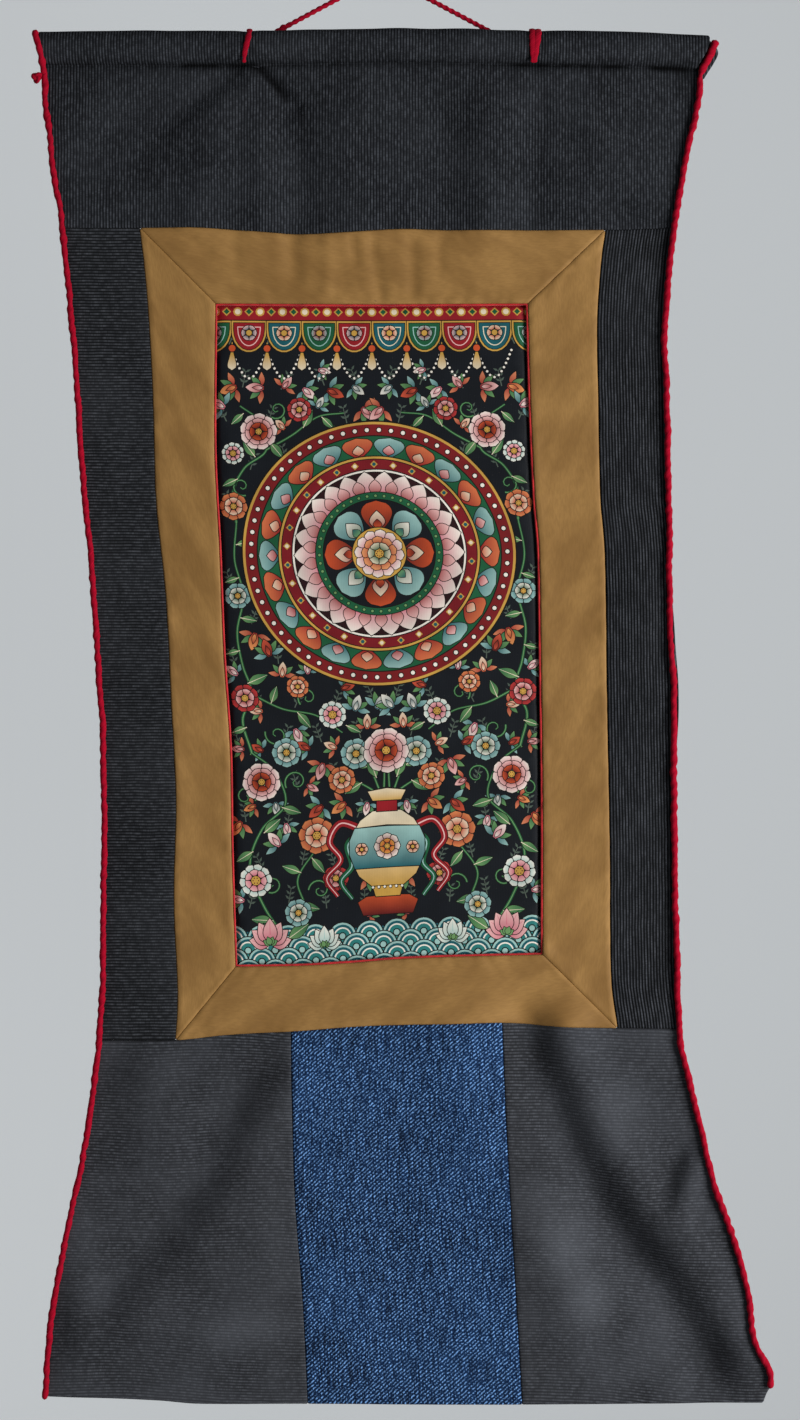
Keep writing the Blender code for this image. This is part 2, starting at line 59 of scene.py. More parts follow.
# %% Camera
MM = 0.001
PIXEL = 0.55 * MM
PHOTO = (800, 1420)
PEAK_PIXEL = (383, -24)  # where the yarn hangs from, just above the picture
CLIP_START = 0.01
CLOTH_PLANE = -0.006  # y of the middle of the hanging cloth
CAMERA_DISTANCE = 1.7
SENSOR = 24.0

camera = bpy.data.objects.new("camera", bpy.data.cameras.new("camera"))
scene.collection.objects.link(camera)
camera.location = (
    (PHOTO[0] / 2 - PEAK_PIXEL[0]) * PIXEL,
    CLOTH_PLANE - CAMERA_DISTANCE,
    -(PHOTO[1] / 2 - PEAK_PIXEL[1]) * PIXEL,
)
camera.rotation_euler = (math.radians(90), 0, 0)
camera.data.sensor_fit = "VERTICAL"
camera.data.sensor_height = SENSOR
camera.data.lens = SENSOR * CAMERA_DISTANCE / (PHOTO[1] * PIXEL)
camera.data.clip_start = CLIP_START
scene.camera = camera
print("camera at", [round(v, 3) for v in camera.location], "lens", round(camera.data.lens, 1))

# %% [markdown]
# ## Curves through a few measured points
# Every outline of the hanging is a short table of places read off it: how far
# below the yarn's peak (a drop), and how far across. One function draws a smooth
# curve through a table. It works on whole arrays, so a fine mesh is quick.

# %% Tables and their curves


def smooth(table, at):
    """The second column of a table where its first is at, on a smooth curve through the rows."""
    places, values = np.array(table, float).T
    at = np.asarray(at, float)
    low = np.arange(len(places))
    before, after = np.maximum(low - 1, 0), np.minimum(low + 1, len(places) - 1)
    slope = (values[after] - values[before]) / (places[after] - places[before])
    row = np.clip(np.searchsorted(places, at, side="left") - 1, 0, len(places) - 2)
    span = places[row + 1] - places[row]
    t = np.clip((at - places[row]) / span, 0, 1)
    return (
        values[row] * (1 + 2 * t) * (1 - t) ** 2
        + values[row + 1] * t * t * (3 - 2 * t)
        + span * slope[row] * t * (1 - t) ** 2
        - span * slope[row + 1] * t * t * (1 - t)
    )


def soft_step(low, high, value):
    t = np.clip((np.asarray(value, float) - low) / (high - low), 0, 1)
    return t * t * (3 - 2 * t)


# The middle of the yarn down each side: (drop, x)
LEFT_SIDE = (
    (0.0308, -0.1895), (0.0495, -0.1873), (0.0902, -0.1829), (0.1452, -0.1752),
    (0.2002, -0.1700), (0.2827, -0.1645), (0.3102, -0.1614), (0.3652, -0.1576),
    (0.4202, -0.1540), (0.5302, -0.1537), (0.5852, -0.1559), (0.6127, -0.1592),
    (0.6402, -0.1631), (0.6677, -0.1686), (0.6952, -0.1744), (0.7227, -0.1796),
    (0.7502, -0.1834), (0.7821, -0.1856),
)
RIGHT_SIDE = (
    (0.0495, 0.1755), (0.0627, 0.1744), (0.0902, 0.1686), (0.1177, 0.1631),
    (0.1452, 0.1592), (0.1727, 0.1562), (0.2002, 0.1546), (0.2277, 0.1560),
    (0.3102, 0.1573), (0.3652, 0.1581), (0.3927, 0.1599), (0.4477, 0.1598),
    (0.5302, 0.1614), (0.5852, 0.1634), (0.6127, 0.1697), (0.6402, 0.1760),
    (0.6677, 0.1829), (0.6952, 0.1930), (0.7227, 0.2002), (0.7502, 0.2041),
    (0.7678, 0.2123), (0.7760, 0.2125),
)
RIGHT_YARN_END = 0.7760
RIGHT_CORNER = ((0.7760, 0.2125), (0.7800, 0.2104), (0.7830, 0.2094), (0.7850, 0.2082))
RIGHT_BULGE = {"drop": 0.385, "half_length": 0.040, "reach": 0.0018}
EDGE_REACH = 0.0009  # the cloth reaches this far past the middle of its edge yarn

# Seams across the cloth: (x, drop)
TOP_SEAM = (
    (-0.1766, 0.1391), (-0.1337, 0.1386), (-0.1007, 0.1386), (-0.0732, 0.1403),
    (-0.0457, 0.1419), (-0.0181, 0.1408), (0.0094, 0.1391), (0.0369, 0.1397),
    (0.1221, 0.1397), (0.1612, 0.1386),
)
BOTTOM_SEAM = (
    (-0.1568, 0.5855), (-0.1141, 0.5852), (-0.0869, 0.5825), (-0.0457, 0.5803),
    (-0.0181, 0.5781), (0.0094, 0.5770), (0.0369, 0.5764), (0.0644, 0.5759),
    (0.0919, 0.5775), (0.1287, 0.5786), (0.1650, 0.5792),
)
HEM = (
    (-0.1865, 0.7808), (-0.1557, 0.7818), (-0.1227, 0.7833), (-0.1018, 0.7850),
    (-0.0413, 0.7850), (0.0204, 0.7855), (0.0765, 0.7855), (0.1414, 0.7850),
    (0.2082, 0.7844),
)
# Outer edges of the cotton frame, its opening, and the denim's edges: (drop, x)
FRAME_LEFT = (
    (0.1386, -0.1337), (0.1562, -0.1315), (0.1892, -0.1287), (0.2332, -0.1265),
    (0.2882, -0.1249), (0.3432, -0.1194), (0.3982, -0.1166), (0.4532, -0.1139),
    (0.5082, -0.1150), (0.5632, -0.1128), (0.5852, -0.1141),
)
FRAME_RIGHT = (
    (0.1397, 0.1221), (0.1562, 0.1199), (0.1892, 0.1177), (0.2332, 0.1183),
    (0.2882, 0.1196), (0.3157, 0.1219), (0.3982, 0.1232), (0.4807, 0.1247),
    (0.5522, 0.1254), (0.5786, 0.1287),
)
OPENING_LEFT = (
    (0.1799, -0.0924), (0.2607, -0.0929), (0.3157, -0.0902), (0.3707, -0.0880),
    (0.4257, -0.0844), (0.4807, -0.0835), (0.5451, -0.0814),
)
OPENING_RIGHT = (
    (0.1799, 0.0798), (0.2332, 0.0812), (0.2882, 0.0838), (0.3157, 0.0860),
    (0.3707, 0.0869), (0.4532, 0.0880), (0.5384, 0.0880),
)
DENIM_LEFT = (
    (0.5805, -0.0506), (0.6182, -0.0501), (0.6732, -0.0484), (0.7282, -0.0442),
    (0.7850, -0.0413),
)
DENIM_RIGHT = (
    (0.5759, 0.0655), (0.6182, 0.0671), (0.6732, 0.0699), (0.7282, 0.0732),
    (0.7855, 0.0765),
)
# The opening's top and bottom edges: (x, drop)
OPENING_TOP = ((-0.0924, 0.1799), (-0.0072, 0.1804), (0.0798, 0.1799))
OPENING_BOTTOM = (
    (-0.0814, 0.5451), (-0.0457, 0.5445), (-0.0181, 0.5429), (0.0094, 0.5407),
    (0.0369, 0.5396), (0.0880, 0.5384),
)


def left_edge(drop):
    return smooth(LEFT_SIDE, drop) - EDGE_REACH


def right_edge(drop):
    bulge = np.exp(-(((drop - RIGHT_BULGE["drop"]) / RIGHT_BULGE["half_length"]) ** 4))
    beside_yarn = smooth(RIGHT_SIDE, drop) + EDGE_REACH + RIGHT_BULGE["reach"] * bulge
    return np.where(drop > RIGHT_YARN_END, smooth(RIGHT_CORNER, drop), beside_yarn)


print("the hanging is", round(float(right_edge(0.776) - left_edge(0.776)), 3), "m wide near its hem")

# %% [markdown]
# ## Folds
# Cloth that hangs free is never flat. Each soft fold is a ridge or a trough
# along a short path, with a width and a height, and fades out sideways like a
# bell. A simulation would find folds of its own; placing them one by one puts
# them where they are on the real one. Fine noise adds the last unevenness.

# %% Folds of the hanging cloth

# How far the cloth stands forward as it hangs: (drop, y)
HANG = (
    (0.0478, -0.0046), (0.0600, -0.0048), (0.1000, -0.0056), (0.1400, -0.0060),
    (0.3000, -0.0052), (0.4500, -0.0050), (0.5800, -0.0058), (0.7000, -0.0066),
    (0.7860, -0.0072),
)
# (half width, rise towards the viewer, points (x, drop) along the crest)
FOLDS = (
    (0.018, 0.0018, ((-0.178, 0.070), (-0.166, 0.220))),
    (0.014, -0.0018, ((-0.128, 0.064), (-0.160, 0.100))),
    (0.012, 0.0022, ((-0.086, 0.058), (-0.103, 0.131))),
    (0.010, -0.0024, ((-0.066, 0.056), (-0.054, 0.074), (-0.047, 0.101), (-0.046, 0.131))),
    (0.016, 0.0020, ((-0.020, 0.058), (-0.016, 0.130))),
    (0.014, -0.0018, ((0.030, 0.055), (0.033, 0.133))),
    (0.011, 0.0020, ((0.057, 0.056), (0.056, 0.130))),
    (0.010, -0.0024, ((0.083, 0.053), (0.083, 0.130))),
    (0.013, 0.0020, ((0.114, 0.058), (0.120, 0.104))),
    (0.010, -0.0014, ((0.100, 0.090), (0.130, 0.128))),
    (0.020, -0.0012, ((-0.135, 0.260), (-0.128, 0.330))),
    (0.022, 0.0012, ((-0.120, 0.400), (-0.122, 0.520))),
    (0.018, 0.0014, ((0.140, 0.300), (0.146, 0.440))),
    (0.018, 0.0024, ((-0.128, 0.598), (-0.124, 0.640))),
    (0.016, 0.0024, ((-0.167, 0.690), (-0.171, 0.765))),
    (0.014, 0.0024, (
        (-0.051, 0.607), (-0.069, 0.636), (-0.084, 0.673), (-0.110, 0.706), (-0.136, 0.732),
    )),
    (0.014, -0.0026, (
        (-0.066, 0.597), (-0.085, 0.626), (-0.099, 0.662), (-0.124, 0.695), (-0.150, 0.721),
    )),
    (0.017, 0.0022, ((0.038, 0.584), (0.050, 0.645))),
    (0.020, -0.0014, ((0.005, 0.640), (0.010, 0.760))),
    (0.014, -0.0050, (
        (0.080, 0.580), (0.085, 0.602), (0.097, 0.632), (0.112, 0.662),
        (0.127, 0.689), (0.146, 0.711), (0.163, 0.735), (0.182, 0.768),
    )),
    (0.014, 0.0042, (
        (0.100, 0.580), (0.104, 0.594), (0.115, 0.623), (0.130, 0.652),
        (0.143, 0.677), (0.162, 0.699), (0.180, 0.724), (0.199, 0.758),
    )),
    (0.020, 0.0014, ((0.078, 0.672), (0.098, 0.735))),
)
FOLDS_START = (0.052, 0.080)


def distance_to_path(x, drop, path):
    best = np.full(np.shape(x), np.inf)
    for (ax, ad), (bx, bd) in zip(path, path[1:]):
        dx, dd = bx - ax, bd - ad
        share = np.clip(((x - ax) * dx + (drop - ad) * dd) / (dx * dx + dd * dd), 0, 1)
        best = np.minimum(best, np.hypot(x - ax - share * dx, drop - ad - share * dd))
    return best


def risen(folds, x, drop):
    return sum(
        rise * np.exp(-((distance_to_path(x, drop, path) / half_width) ** 2))
        for half_width, rise, path in folds
    )


def cloth_y(x, drop):
    """The y of the middle of the hanging cloth, as in its solids."""
    x, drop = np.broadcast_arrays(np.asarray(x, float), np.asarray(drop, float))
    return smooth(HANG, drop) - risen(FOLDS, x, drop) * soft_step(*FOLDS_START, drop)


# Creases and small swells that the solids leave out, in the same columns
FINE_FOLDS = (
    (0.0028, -0.0022, ((-0.0710, 0.0480), (-0.0640, 0.0545), (-0.0540, 0.0655), (-0.0470, 0.0720))),
    (0.0035, 0.0012, ((-0.0750, 0.0530), (-0.0680, 0.0600), (-0.0590, 0.0700))),
    (0.0070, -0.0013, ((-0.0860, 0.0560), (-0.1120, 0.0763), (-0.1240, 0.0890), (-0.1340, 0.1010))),
    (0.0070, 0.0011, ((-0.0730, 0.0610), (-0.0985, 0.0750), (-0.1115, 0.0880))),
    (0.0180, 0.0026, ((0.0860, 0.6850), (0.1040, 0.7350))),
    (0.0200, -0.0026, ((0.1180, 0.6750), (0.1400, 0.7150))),
    (0.0040, 0.0009, ((0.1520, 0.6830), (0.1630, 0.6870), (0.1780, 0.7000))),
    (0.0060, -0.0024, ((0.1625, 0.6480), (0.1545, 0.6720))),
    (0.0060, 0.0016, ((0.1710, 0.6540), (0.1630, 0.6790))),
    (0.0070, 0.0012, ((-0.0690, 0.0760), (-0.0670, 0.1330))),
    (0.0030, -0.0006, ((0.0840, 0.0510), (0.0900, 0.0800))),
    (0.0040, -0.0007, ((0.1660, 0.0500), (0.1600, 0.0620))),
    (0.0036, -0.0007, ((-0.0820, 0.1420), (-0.0810, 0.1570))),
    (0.0050, -0.0014, ((-0.0500, 0.1450), (-0.0490, 0.1640))),
    (0.0045, 0.0008, ((-0.0300, 0.1480), (-0.0310, 0.1720))),
    (0.0030, -0.0009, ((-0.0170, 0.1440), (-0.0150, 0.1560))),
    (0.0036, -0.0009, ((-0.0060, 0.1480), (-0.0010, 0.1770))),
    (0.0040, -0.0010, ((0.0160, 0.1480), (0.0170, 0.1740))),
    (0.0030, -0.0006, ((0.0310, 0.1470), (0.0315, 0.1600))),
    (0.0026, -0.0006, ((-0.1090, 0.1430), (-0.0960, 0.1520))),
)


# Random rises over the whole cloth: (size, height)
SLOW_RISES = (0.026, 0.00030)
SMALL_RISES = (0.008, 0.00006)
NOISE_LAYER = 7.3


def unevenness(x, drop, size, height):
    """Slow random rises of the cloth, the same on each run."""
    flat_x, flat_drop = np.ravel(x) / size, np.ravel(drop) / size
    rises = [noise.noise(Vector((a, b, NOISE_LAYER))) for a, b in zip(flat_x, flat_drop)]
    return np.reshape(rises, np.shape(x)) * height


def fine_y(x, drop):
    """The cloth as it is drawn: the solids' folds, the small creases and the unevenness."""
    shape = cloth_y(x, drop) - risen(FINE_FOLDS, x, drop)
    return shape + unevenness(x, drop, *SLOW_RISES) + unevenness(x, drop, *SMALL_RISES)


print("folds:", len(FOLDS), "and", len(FINE_FOLDS), "small ones")

# %% [markdown]
# ## Yarn
# The red yarn is wool, two plies twisted together and brushed a little. It
# could be two tubes wound round each other, but one tube whose section is a
# turning figure-of-eight is a single clean skin with the same furrow.
# Loose fibres are short thin hairs that stand off it.

# %% Sweep a twisted yarn along a line
YARN_STEP = 0.6 * MM  # from one section of the mesh to the next
YARN_SIDES = 14
HAIR_THICK = (0.016 * MM, 0.030 * MM)


def run_along(points):
    """How far along a line each of its points is."""
    return np.concatenate([[0], np.cumsum(np.linalg.norm(np.diff(points, axis=0), axis=1))])


def path_frames(points, across):
    """The direction of a line at each of its points, and two at right angles to it, the first near across."""
    along = np.gradient(points, axis=0)
    along /= np.linalg.norm(along, axis=1)[:, None]
    first = across - along * (along @ across)[:, None]
    first /= np.linalg.norm(first, axis=1)[:, None]
    return along, first, np.cross(along, first)


def evenly(points, step):
    """Points along a line at equal steps."""
    points = np.asarray(points, float)
    run = run_along(points)
    at = np.linspace(0, run[-1], max(4, int(run[-1] / step)))
    return np.stack([np.interp(at, run, points[:, i]) for i in range(3)], axis=1), at


def grid_faces(rows, columns, closed=False):
    """The faces of a grid of points. A closed one is a tube: its last column meets its first."""
    index = np.arange(rows * columns).reshape(rows, columns)
    if closed:
        index = np.concatenate([index, index[:, :1]], axis=1)
    corners = [index[:-1, :-1], index[1:, :-1], index[1:, 1:], index[:-1, 1:]]
    return np.stack([c.ravel() for c in corners], axis=1).tolist()


def yarn_skin(points, radius, pitch, across=(0, 1, 0), squash=1.0, furrow=0.13, swell=None):
    """Vertices, faces and (around, along) of a two-ply yarn along a line, with rounded ends."""
    line, run = evenly(points, YARN_STEP)
    _, first, second = path_frames(line, np.array(across, float))
    size = np.full(len(line), radius)
    if swell is not None:
        size = size * swell(run)
    end = np.minimum(run, run[-1] - run)
    size = size * np.sqrt(np.clip(1 - (1 - np.clip(end / radius, 0, 1)) ** 2, 0.04, 1))
    angles = np.arange(YARN_SIDES) * 2 * math.pi / YARN_SIDES
    turn = 2 * math.pi * run / pitch
    lobes = 1 - furrow + furrow * np.cos(2 * (angles[None, :] - turn[:, None]))
    reach = size[:, None] * lobes
    skin = (
        line[:, None, :]
        + first[:, None, :] * (reach * np.cos(angles))[:, :, None] * squash
        + second[:, None, :] * (reach * np.sin(angles))[:, :, None]
    )
    faces = [(a, d, c, b) for a, b, c, d in grid_faces(len(line), YARN_SIDES, closed=True)]
    faces.append(tuple(reversed(range(YARN_SIDES))))
    faces.append(tuple((len(line) - 1) * YARN_SIDES + j for j in range(YARN_SIDES)))
    around = np.broadcast_to(angles[None, :] - turn[:, None], reach.shape) / (2 * math.pi)
    lay = np.stack([around.ravel(), np.repeat(run, YARN_SIDES), np.zeros(reach.size)], axis=1)
    return skin.reshape(-1, 3), faces, lay


def fibres(points, radius, per_mm, length, seed, across=(0, 1, 0)):
    """Fine hairs that stand off a yarn, each a bent three-sided spike, as vertices, faces and lay."""
    line, run = evenly(points, YARN_STEP)
    along, first, second = path_frames(line, np.array(across, float))
    draw = random.Random(seed)
    verts, faces = [], []
    for _ in range(int(run[-1] / MM * per_mm)):
        i = draw.randrange(2, len(line) - 2)
        angle = draw.uniform(0, 2 * math.pi)
        out = first[i] * math.cos(angle) + second[i] * math.sin(angle)
        side = np.cross(along[i], out)
        lean = along[i] * draw.uniform(-1.2, 1.2) + side * draw.uniform(-0.7, 0.7)
        reach = length * draw.uniform(0.35, 1.0)
        thick = draw.uniform(*HAIR_THICK)
        start = line[i] + out * radius * 0.9
        base = len(verts)
        for t in (0.0, 0.5):
            centre = start + (out * t * (1.1 - 0.5 * t) + lean * t * t) * reach
            for k in range(3):
                turn = 2 * math.pi * k / 3
                verts.append(centre + (side * math.cos(turn) + along[i] * math.sin(turn)) * thick * (1 - t))
        verts.append(start + (out * 0.6 + lean) * reach)
        for k in range(3):
            n = (k + 1) % 3
            faces.append((base + k, base + n, base + 3 + n, base + 3 + k))
            faces.append((base + 3 + k, base + 3 + n, base + 6))
        faces.append((base + 2, base + 1, base))
    return np.array(verts), faces, np.zeros((len(verts), 3))


def joined(parts):
    """Several meshes, each as vertices, faces and lay, as one."""
    verts, faces, lay = np.zeros((0, 3)), [], np.zeros((0, 3))
    for some_verts, some_faces, some_lay in parts:
        faces += [tuple(len(verts) + k for k in face) for face in some_faces]
        verts = np.concatenate([verts, some_verts])
        lay = np.concatenate([lay, some_lay])
    return verts, faces, lay


def mesh_piece(name, verts, faces, lay, material):
    """A mesh object that keeps its pattern's own coordinates as an attribute called lay."""
    mesh = bpy.data.meshes.new(name)
    mesh.from_pydata([tuple(v) for v in verts], [], faces)
    values = mesh.attributes.new("lay", "FLOAT_VECTOR", "POINT")
    values.data.foreach_set("vector", np.ascontiguousarray(lay, dtype=np.float32).ravel())
    mesh.shade_smooth()
    mesh.materials.append(material)
    made = bpy.data.objects.new(name, mesh)
    scene.collection.objects.link(made)
    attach(made, "root")
    return made


print("yarn sweep ready")

# %% [markdown]
# ## Colours and nodes
# Colours are picked as sRGB hex values, the way a paint chart gives them, and
# turned to the linear values that the shader works in. A finish could be wired
# by hand, node by node; here one small function adds any node, sets it up and
# wires it, so a finish reads like a recipe. The table says, for each word of
# the recipe, Blender's node, its settings, the inputs that are given in order,
# and the output that is handed on. Any other word is a step of maths.

# %% Colour and node helpers
NODES = {
    "lay": ("ShaderNodeAttribute", {"attribute_name": "lay"}, (), "Vector"),
    "picture": ("ShaderNodeAttribute", {"attribute_name": "picture"}, (), "Color"),
    "parts": ("ShaderNodeSeparateXYZ", {}, (0,), None),
    "place": ("ShaderNodeCombineXYZ", {}, (0, 1), 0),
    "stretch": ("ShaderNodeMapping", {}, ("Vector", "Scale"), 0),
    "noise": ("ShaderNodeTexNoise", {}, ("Vector", "Scale", "Detail"), 0),
    "cells": ("ShaderNodeTexVoronoi", {}, ("Vector", "Scale"), "Distance"),
    "ramp": (
        "ShaderNodeMapRange", {"interpolation_type": "SMOOTHSTEP"},
        ("Value", "From Min", "From Max", "To Min", "To Max"), 0,
    ),
    "blend": ("ShaderNodeMix", {"data_type": "RGBA"}, (0, 6, 7), 2),
    "brighten": ("ShaderNodeHueSaturation", {}, ("Color", "Value"), 0),
    "bump": ("ShaderNodeBump", {}, ("Height", "Strength", "Distance"), 0),
}


def linear(hex_colour):
    """An sRGB hex colour as linear RGBA."""
    parts = [int(hex_colour[i:i + 2], 16) / 255 for i in (1, 3, 5)]
    return tuple(c / 12.92 if c <= 0.04045 else ((c + 0.055) / 1.055) ** 2.4 for c in parts) + (1.0,)


def add(tree, word, *inputs):
    """Adds a node and gives its output. Each input is a value, a hex colour or another node's output."""
    kind, settings, sockets, output = NODES.get(word) or ("ShaderNodeMath", {"operation": word}, (0, 1), 0)
    made = tree.nodes.new(kind)
    for setting, value in settings.items():
        setattr(made, setting, value)
    for socket, value in zip(sockets, inputs):
        if isinstance(value, bpy.types.NodeSocket):
            tree.links.new(value, made.inputs[socket])
        else:
            made.inputs[socket].default_value = linear(value) if isinstance(value, str) else value
    return tuple(made.outputs) if output is None else made.outputs[output]


def chain(tree, value, *steps):
    """Runs a value through maths steps, each (operation, other value or output)."""
    for operation, other in steps:
        value = add(tree, operation, value, other)
    return value


def new_material(name, roughness, specular, sheen=0.0, sheen_tint="#FFFFFF"):
    """A material, its node tree and its shader's inputs, with what is the same all over set on them."""
    made = bpy.data.materials.new(name)
    made.use_nodes = True
    surface = made.node_tree.nodes["Principled BSDF"].inputs
    surface["Roughness"].default_value = roughness
    surface["Specular IOR Level"].default_value = specular
    surface["Sheen Weight"].default_value = sheen
    surface["Sheen Tint"].default_value = linear(sheen_tint)
    return made, made.node_tree, surface


print("helpers ready; crimson is", [round(c, 3) for c in linear("#B1122E")])

# %% [markdown]
# ## Crimson wool yarn
# Dyed wool is matt with a soft glow at its rim, because light passes through
# the fibres that stand off it; the shader's sheen gives that. The fibres run
# with the twist, so the streaks are drawn in the yarn's own coordinates:
# around it, and along it.

# %% Wool yarn material
STREAKS_AROUND = 14.0
STREAKS_A_METRE = 260.0


def wool_yarn():
    made, tree, surface = new_material("crimson_wool_yarn_two_ply_twist", 0.9, 0.12, 0.06, "#FF6478")
    lay = add(tree, "lay")
    around, along, _ = add(tree, "parts", lay)
    streak_at = add(
        tree, "place",
        add(tree, "MULTIPLY", around, STREAKS_AROUND), add(tree, "MULTIPLY", along, STREAKS_A_METRE),
    )
    streaks = add(tree, "noise", streak_at, 1.0, 3.0)
    body = add(tree, "blend", add(tree, "ramp", streaks, 0.3, 0.7), "#90031E", "#B5062B")
    slow = add(tree, "ramp", add(tree, "noise", lay, 90.0, 2.0), 0.35, 0.7, 0.0, 0.5)
    tree.links.new(add(tree, "blend", slow, body, "#860318"), surface["Base Color"])
    tree.links.new(add(tree, "bump", streaks, 0.5, 0.2 * MM), surface["Normal"])
    return made


WOOL = wool_yarn()
print("material:", WOOL.name)

# %% [markdown]
# ## The hanging yarn, first of all
# This is the only free cord. It runs taut from one tie, up to the point that
# it hangs from, and down to the other tie. It is made first, because its
# length and its place decide whether the frame holds it.

# %% Hanging yarn
HANGING_YARN = 0.0030
PEAK_BEND = 0.005
YARN_START = Vector((-0.0701, 0.0354))  # (x, drop), beside the left tie
YARN_END = Vector((0.0787, 0.0397))
SPLICE = 0.0170  # how far up the left leg the small splice sits
SPLICE_HALF = 0.0022
SPLICE_SWELL = 0.38
HANGING_TWIST = 0.0075


def hanging_line():
    """The yarn's route: straight legs and a rounded bend at its peak."""
    peak = Vector((0.0, -HANGING_YARN / 2))
    half_turn = (math.pi - (YARN_START - peak).angle(YARN_END - peak)) / 2
    corner = peak - Vector((0.0, PEAK_BEND * (1 / math.cos(half_turn) - 1)))
    reach = PEAK_BEND * math.tan(half_turn)
    bend_start = corner + (YARN_START - corner).normalized() * reach
    bend_end = corner + (YARN_END - corner).normalized() * reach
    line = [YARN_START.lerp(bend_start, i / 9) for i in range(10)]
    for t in (i / 8 for i in range(1, 8)):
        line.append(bend_start.lerp(corner, t).lerp(corner.lerp(bend_end, t), t))
    line += [bend_end.lerp(YARN_END, i / 10) for i in range(11)]
    return np.array([(x, 0.0, -drop) for x, drop in line])


def splice_swell(run):
    """How much thicker the yarn is where its end is spliced in."""
    return 1 + SPLICE_SWELL * np.exp(-(((run - SPLICE) / SPLICE_HALF) ** 2))


line = hanging_line()
skin = yarn_skin(line, HANGING_YARN / 2, HANGING_TWIST, furrow=0.16, swell=splice_swell)
hanging_yarn = mesh_piece("hanging_yarn_twisted", *skin, WOOL)
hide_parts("hanging_yarn")

# %% [markdown]
# ## Ribbed cloth
# The dark panels are a cotton cord with fine ribs, 1.5 mm apart. Its tops
# catch the light in short dashes, where the yarn has rubbed pale, and the
# furrows stay almost black. The ribs run up and down in some panels and across
# in others, as the pieces were cut, so each panel carries its own coordinates:
# across the ribs first, then along them. The third one is painted light and
# shade: above 0 the cloth is darkened with painted shade, below 0 it is
# lightened with a painted highlight.

# %% Ribbed cloth material
RIB = 1.65 * MM  # 1.5 on the real cloth, which is too fine to show in a picture of the whole
RIB_WANDER = 0.9 * MM
RIB_THREAD = 0.7 * MM
RIB_SEED = 7.31  # takes each rib to another place in the noise
# Colours of the painted shade and of the painted highlight
PAINTED_SHADE = "#040405"
PAINTED_HIGHLIGHT = "#6C7078"


def ribbed_cloth(name, furrow, crest, dash, evenness, sharp, worn_share):
    """Charcoal cord: dash is how long its pale dashes are, evenness how far the ribs are pale all along,
    sharp how narrow the pale tops are, worn_share how far slow patches turn pale."""
    made, tree, surface = new_material(name, 0.95, 0.07)
    over, along, painted_light_and_shade = add(tree, "parts", add(tree, "lay"))
    flat = add(tree, "place", over, along)
    wander = add(tree, "noise", flat, 60.0, 2.0)
    ribs = chain(tree, wander, ("SUBTRACT", 0.5), ("MULTIPLY", RIB_WANDER), ("ADD", over), ("DIVIDE", RIB))
    wave = chain(tree, ribs, ("MULTIPLY", 2 * math.pi), ("SINE", 0.0), ("MULTIPLY", 0.5), ("ADD", 0.5))
    number = chain(tree, ribs, ("ADD", 0.25), ("FLOOR", 0.0), ("MULTIPLY", RIB_SEED))
    dashes, threads = (
        add(tree, "noise", add(tree, "place", number, add(tree, "DIVIDE", along, long)), 1.0, detail)
        for long, detail in ((dash, 3.0), (RIB_THREAD, 1.0))
    )
    pale = chain(
        tree, add(tree, "ramp", dashes, 0.34, 0.74, evenness, 1.0),
        ("MULTIPLY", add(tree, "POWER", wave, sharp)),
        ("MULTIPLY", add(tree, "ramp", threads, 0.2, 0.75, 0.6, 1.2)),
    )
    slow = add(tree, "ramp", add(tree, "noise", flat, 22.0, 4.0), 0.35, 0.7, 0.0, worn_share)
    worn = add(tree, "blend", slow, add(tree, "blend", pale, furrow, crest), crest)
    # Painted highlight where the third coordinate is below 0, painted shade where it is above 0
    rubbed = add(tree, "blend", add(tree, "MULTIPLY", painted_light_and_shade, -1.0), worn, PAINTED_HIGHLIGHT)
    tree.links.new(add(tree, "blend", painted_light_and_shade, rubbed, PAINTED_SHADE), surface["Base Color"])
    height = chain(tree, threads, ("MULTIPLY", 0.5), ("ADD", wave))
    tree.links.new(add(tree, "bump", height, 0.6, 0.25 * MM), surface["Normal"])
    return made


HEADING_CLOTH, BORDER_CLOTH, BORDER_STRONG, SKIRT_CLOTH = (ribbed_cloth(*cut) for cut in (
    ("charcoal_cotton_cord_fine_rib", "#121316", "#4D5158", 4.0 * MM, 0.30, 1.3, 0.12),
    ("charcoal_cotton_cord_across", "#121315", "#4E5157", 4.0 * MM, 0.30, 1.3, 0.10),
    ("charcoal_cotton_cord_bold_rib", "#0A0B0C", "#50535A", 12.0 * MM, 0.40, 1.8, 0.06),
    ("faded_cotton_cord_fine_rib", "#242528", "#565960", 3.0 * MM, 0.30, 1.0, 0.34),
))
print("ribs every", RIB / MM, "mm")

# %% [markdown]
# ## Denim
# Denim is a twill: an indigo warp over a white weft, so pale points of weft
# show between slanting lines, 1.25 mm apart and rising to the right. The warp
# yarns vary in thickness, which gives the streaks up and down.

# %% Denim material
TWILL = 1.7 * MM  # 1.25 on the real cloth, which is too fine to show here
TWILL_ANGLE = math.radians(40)
SLUB = (0.9 * MM, 18 * MM)


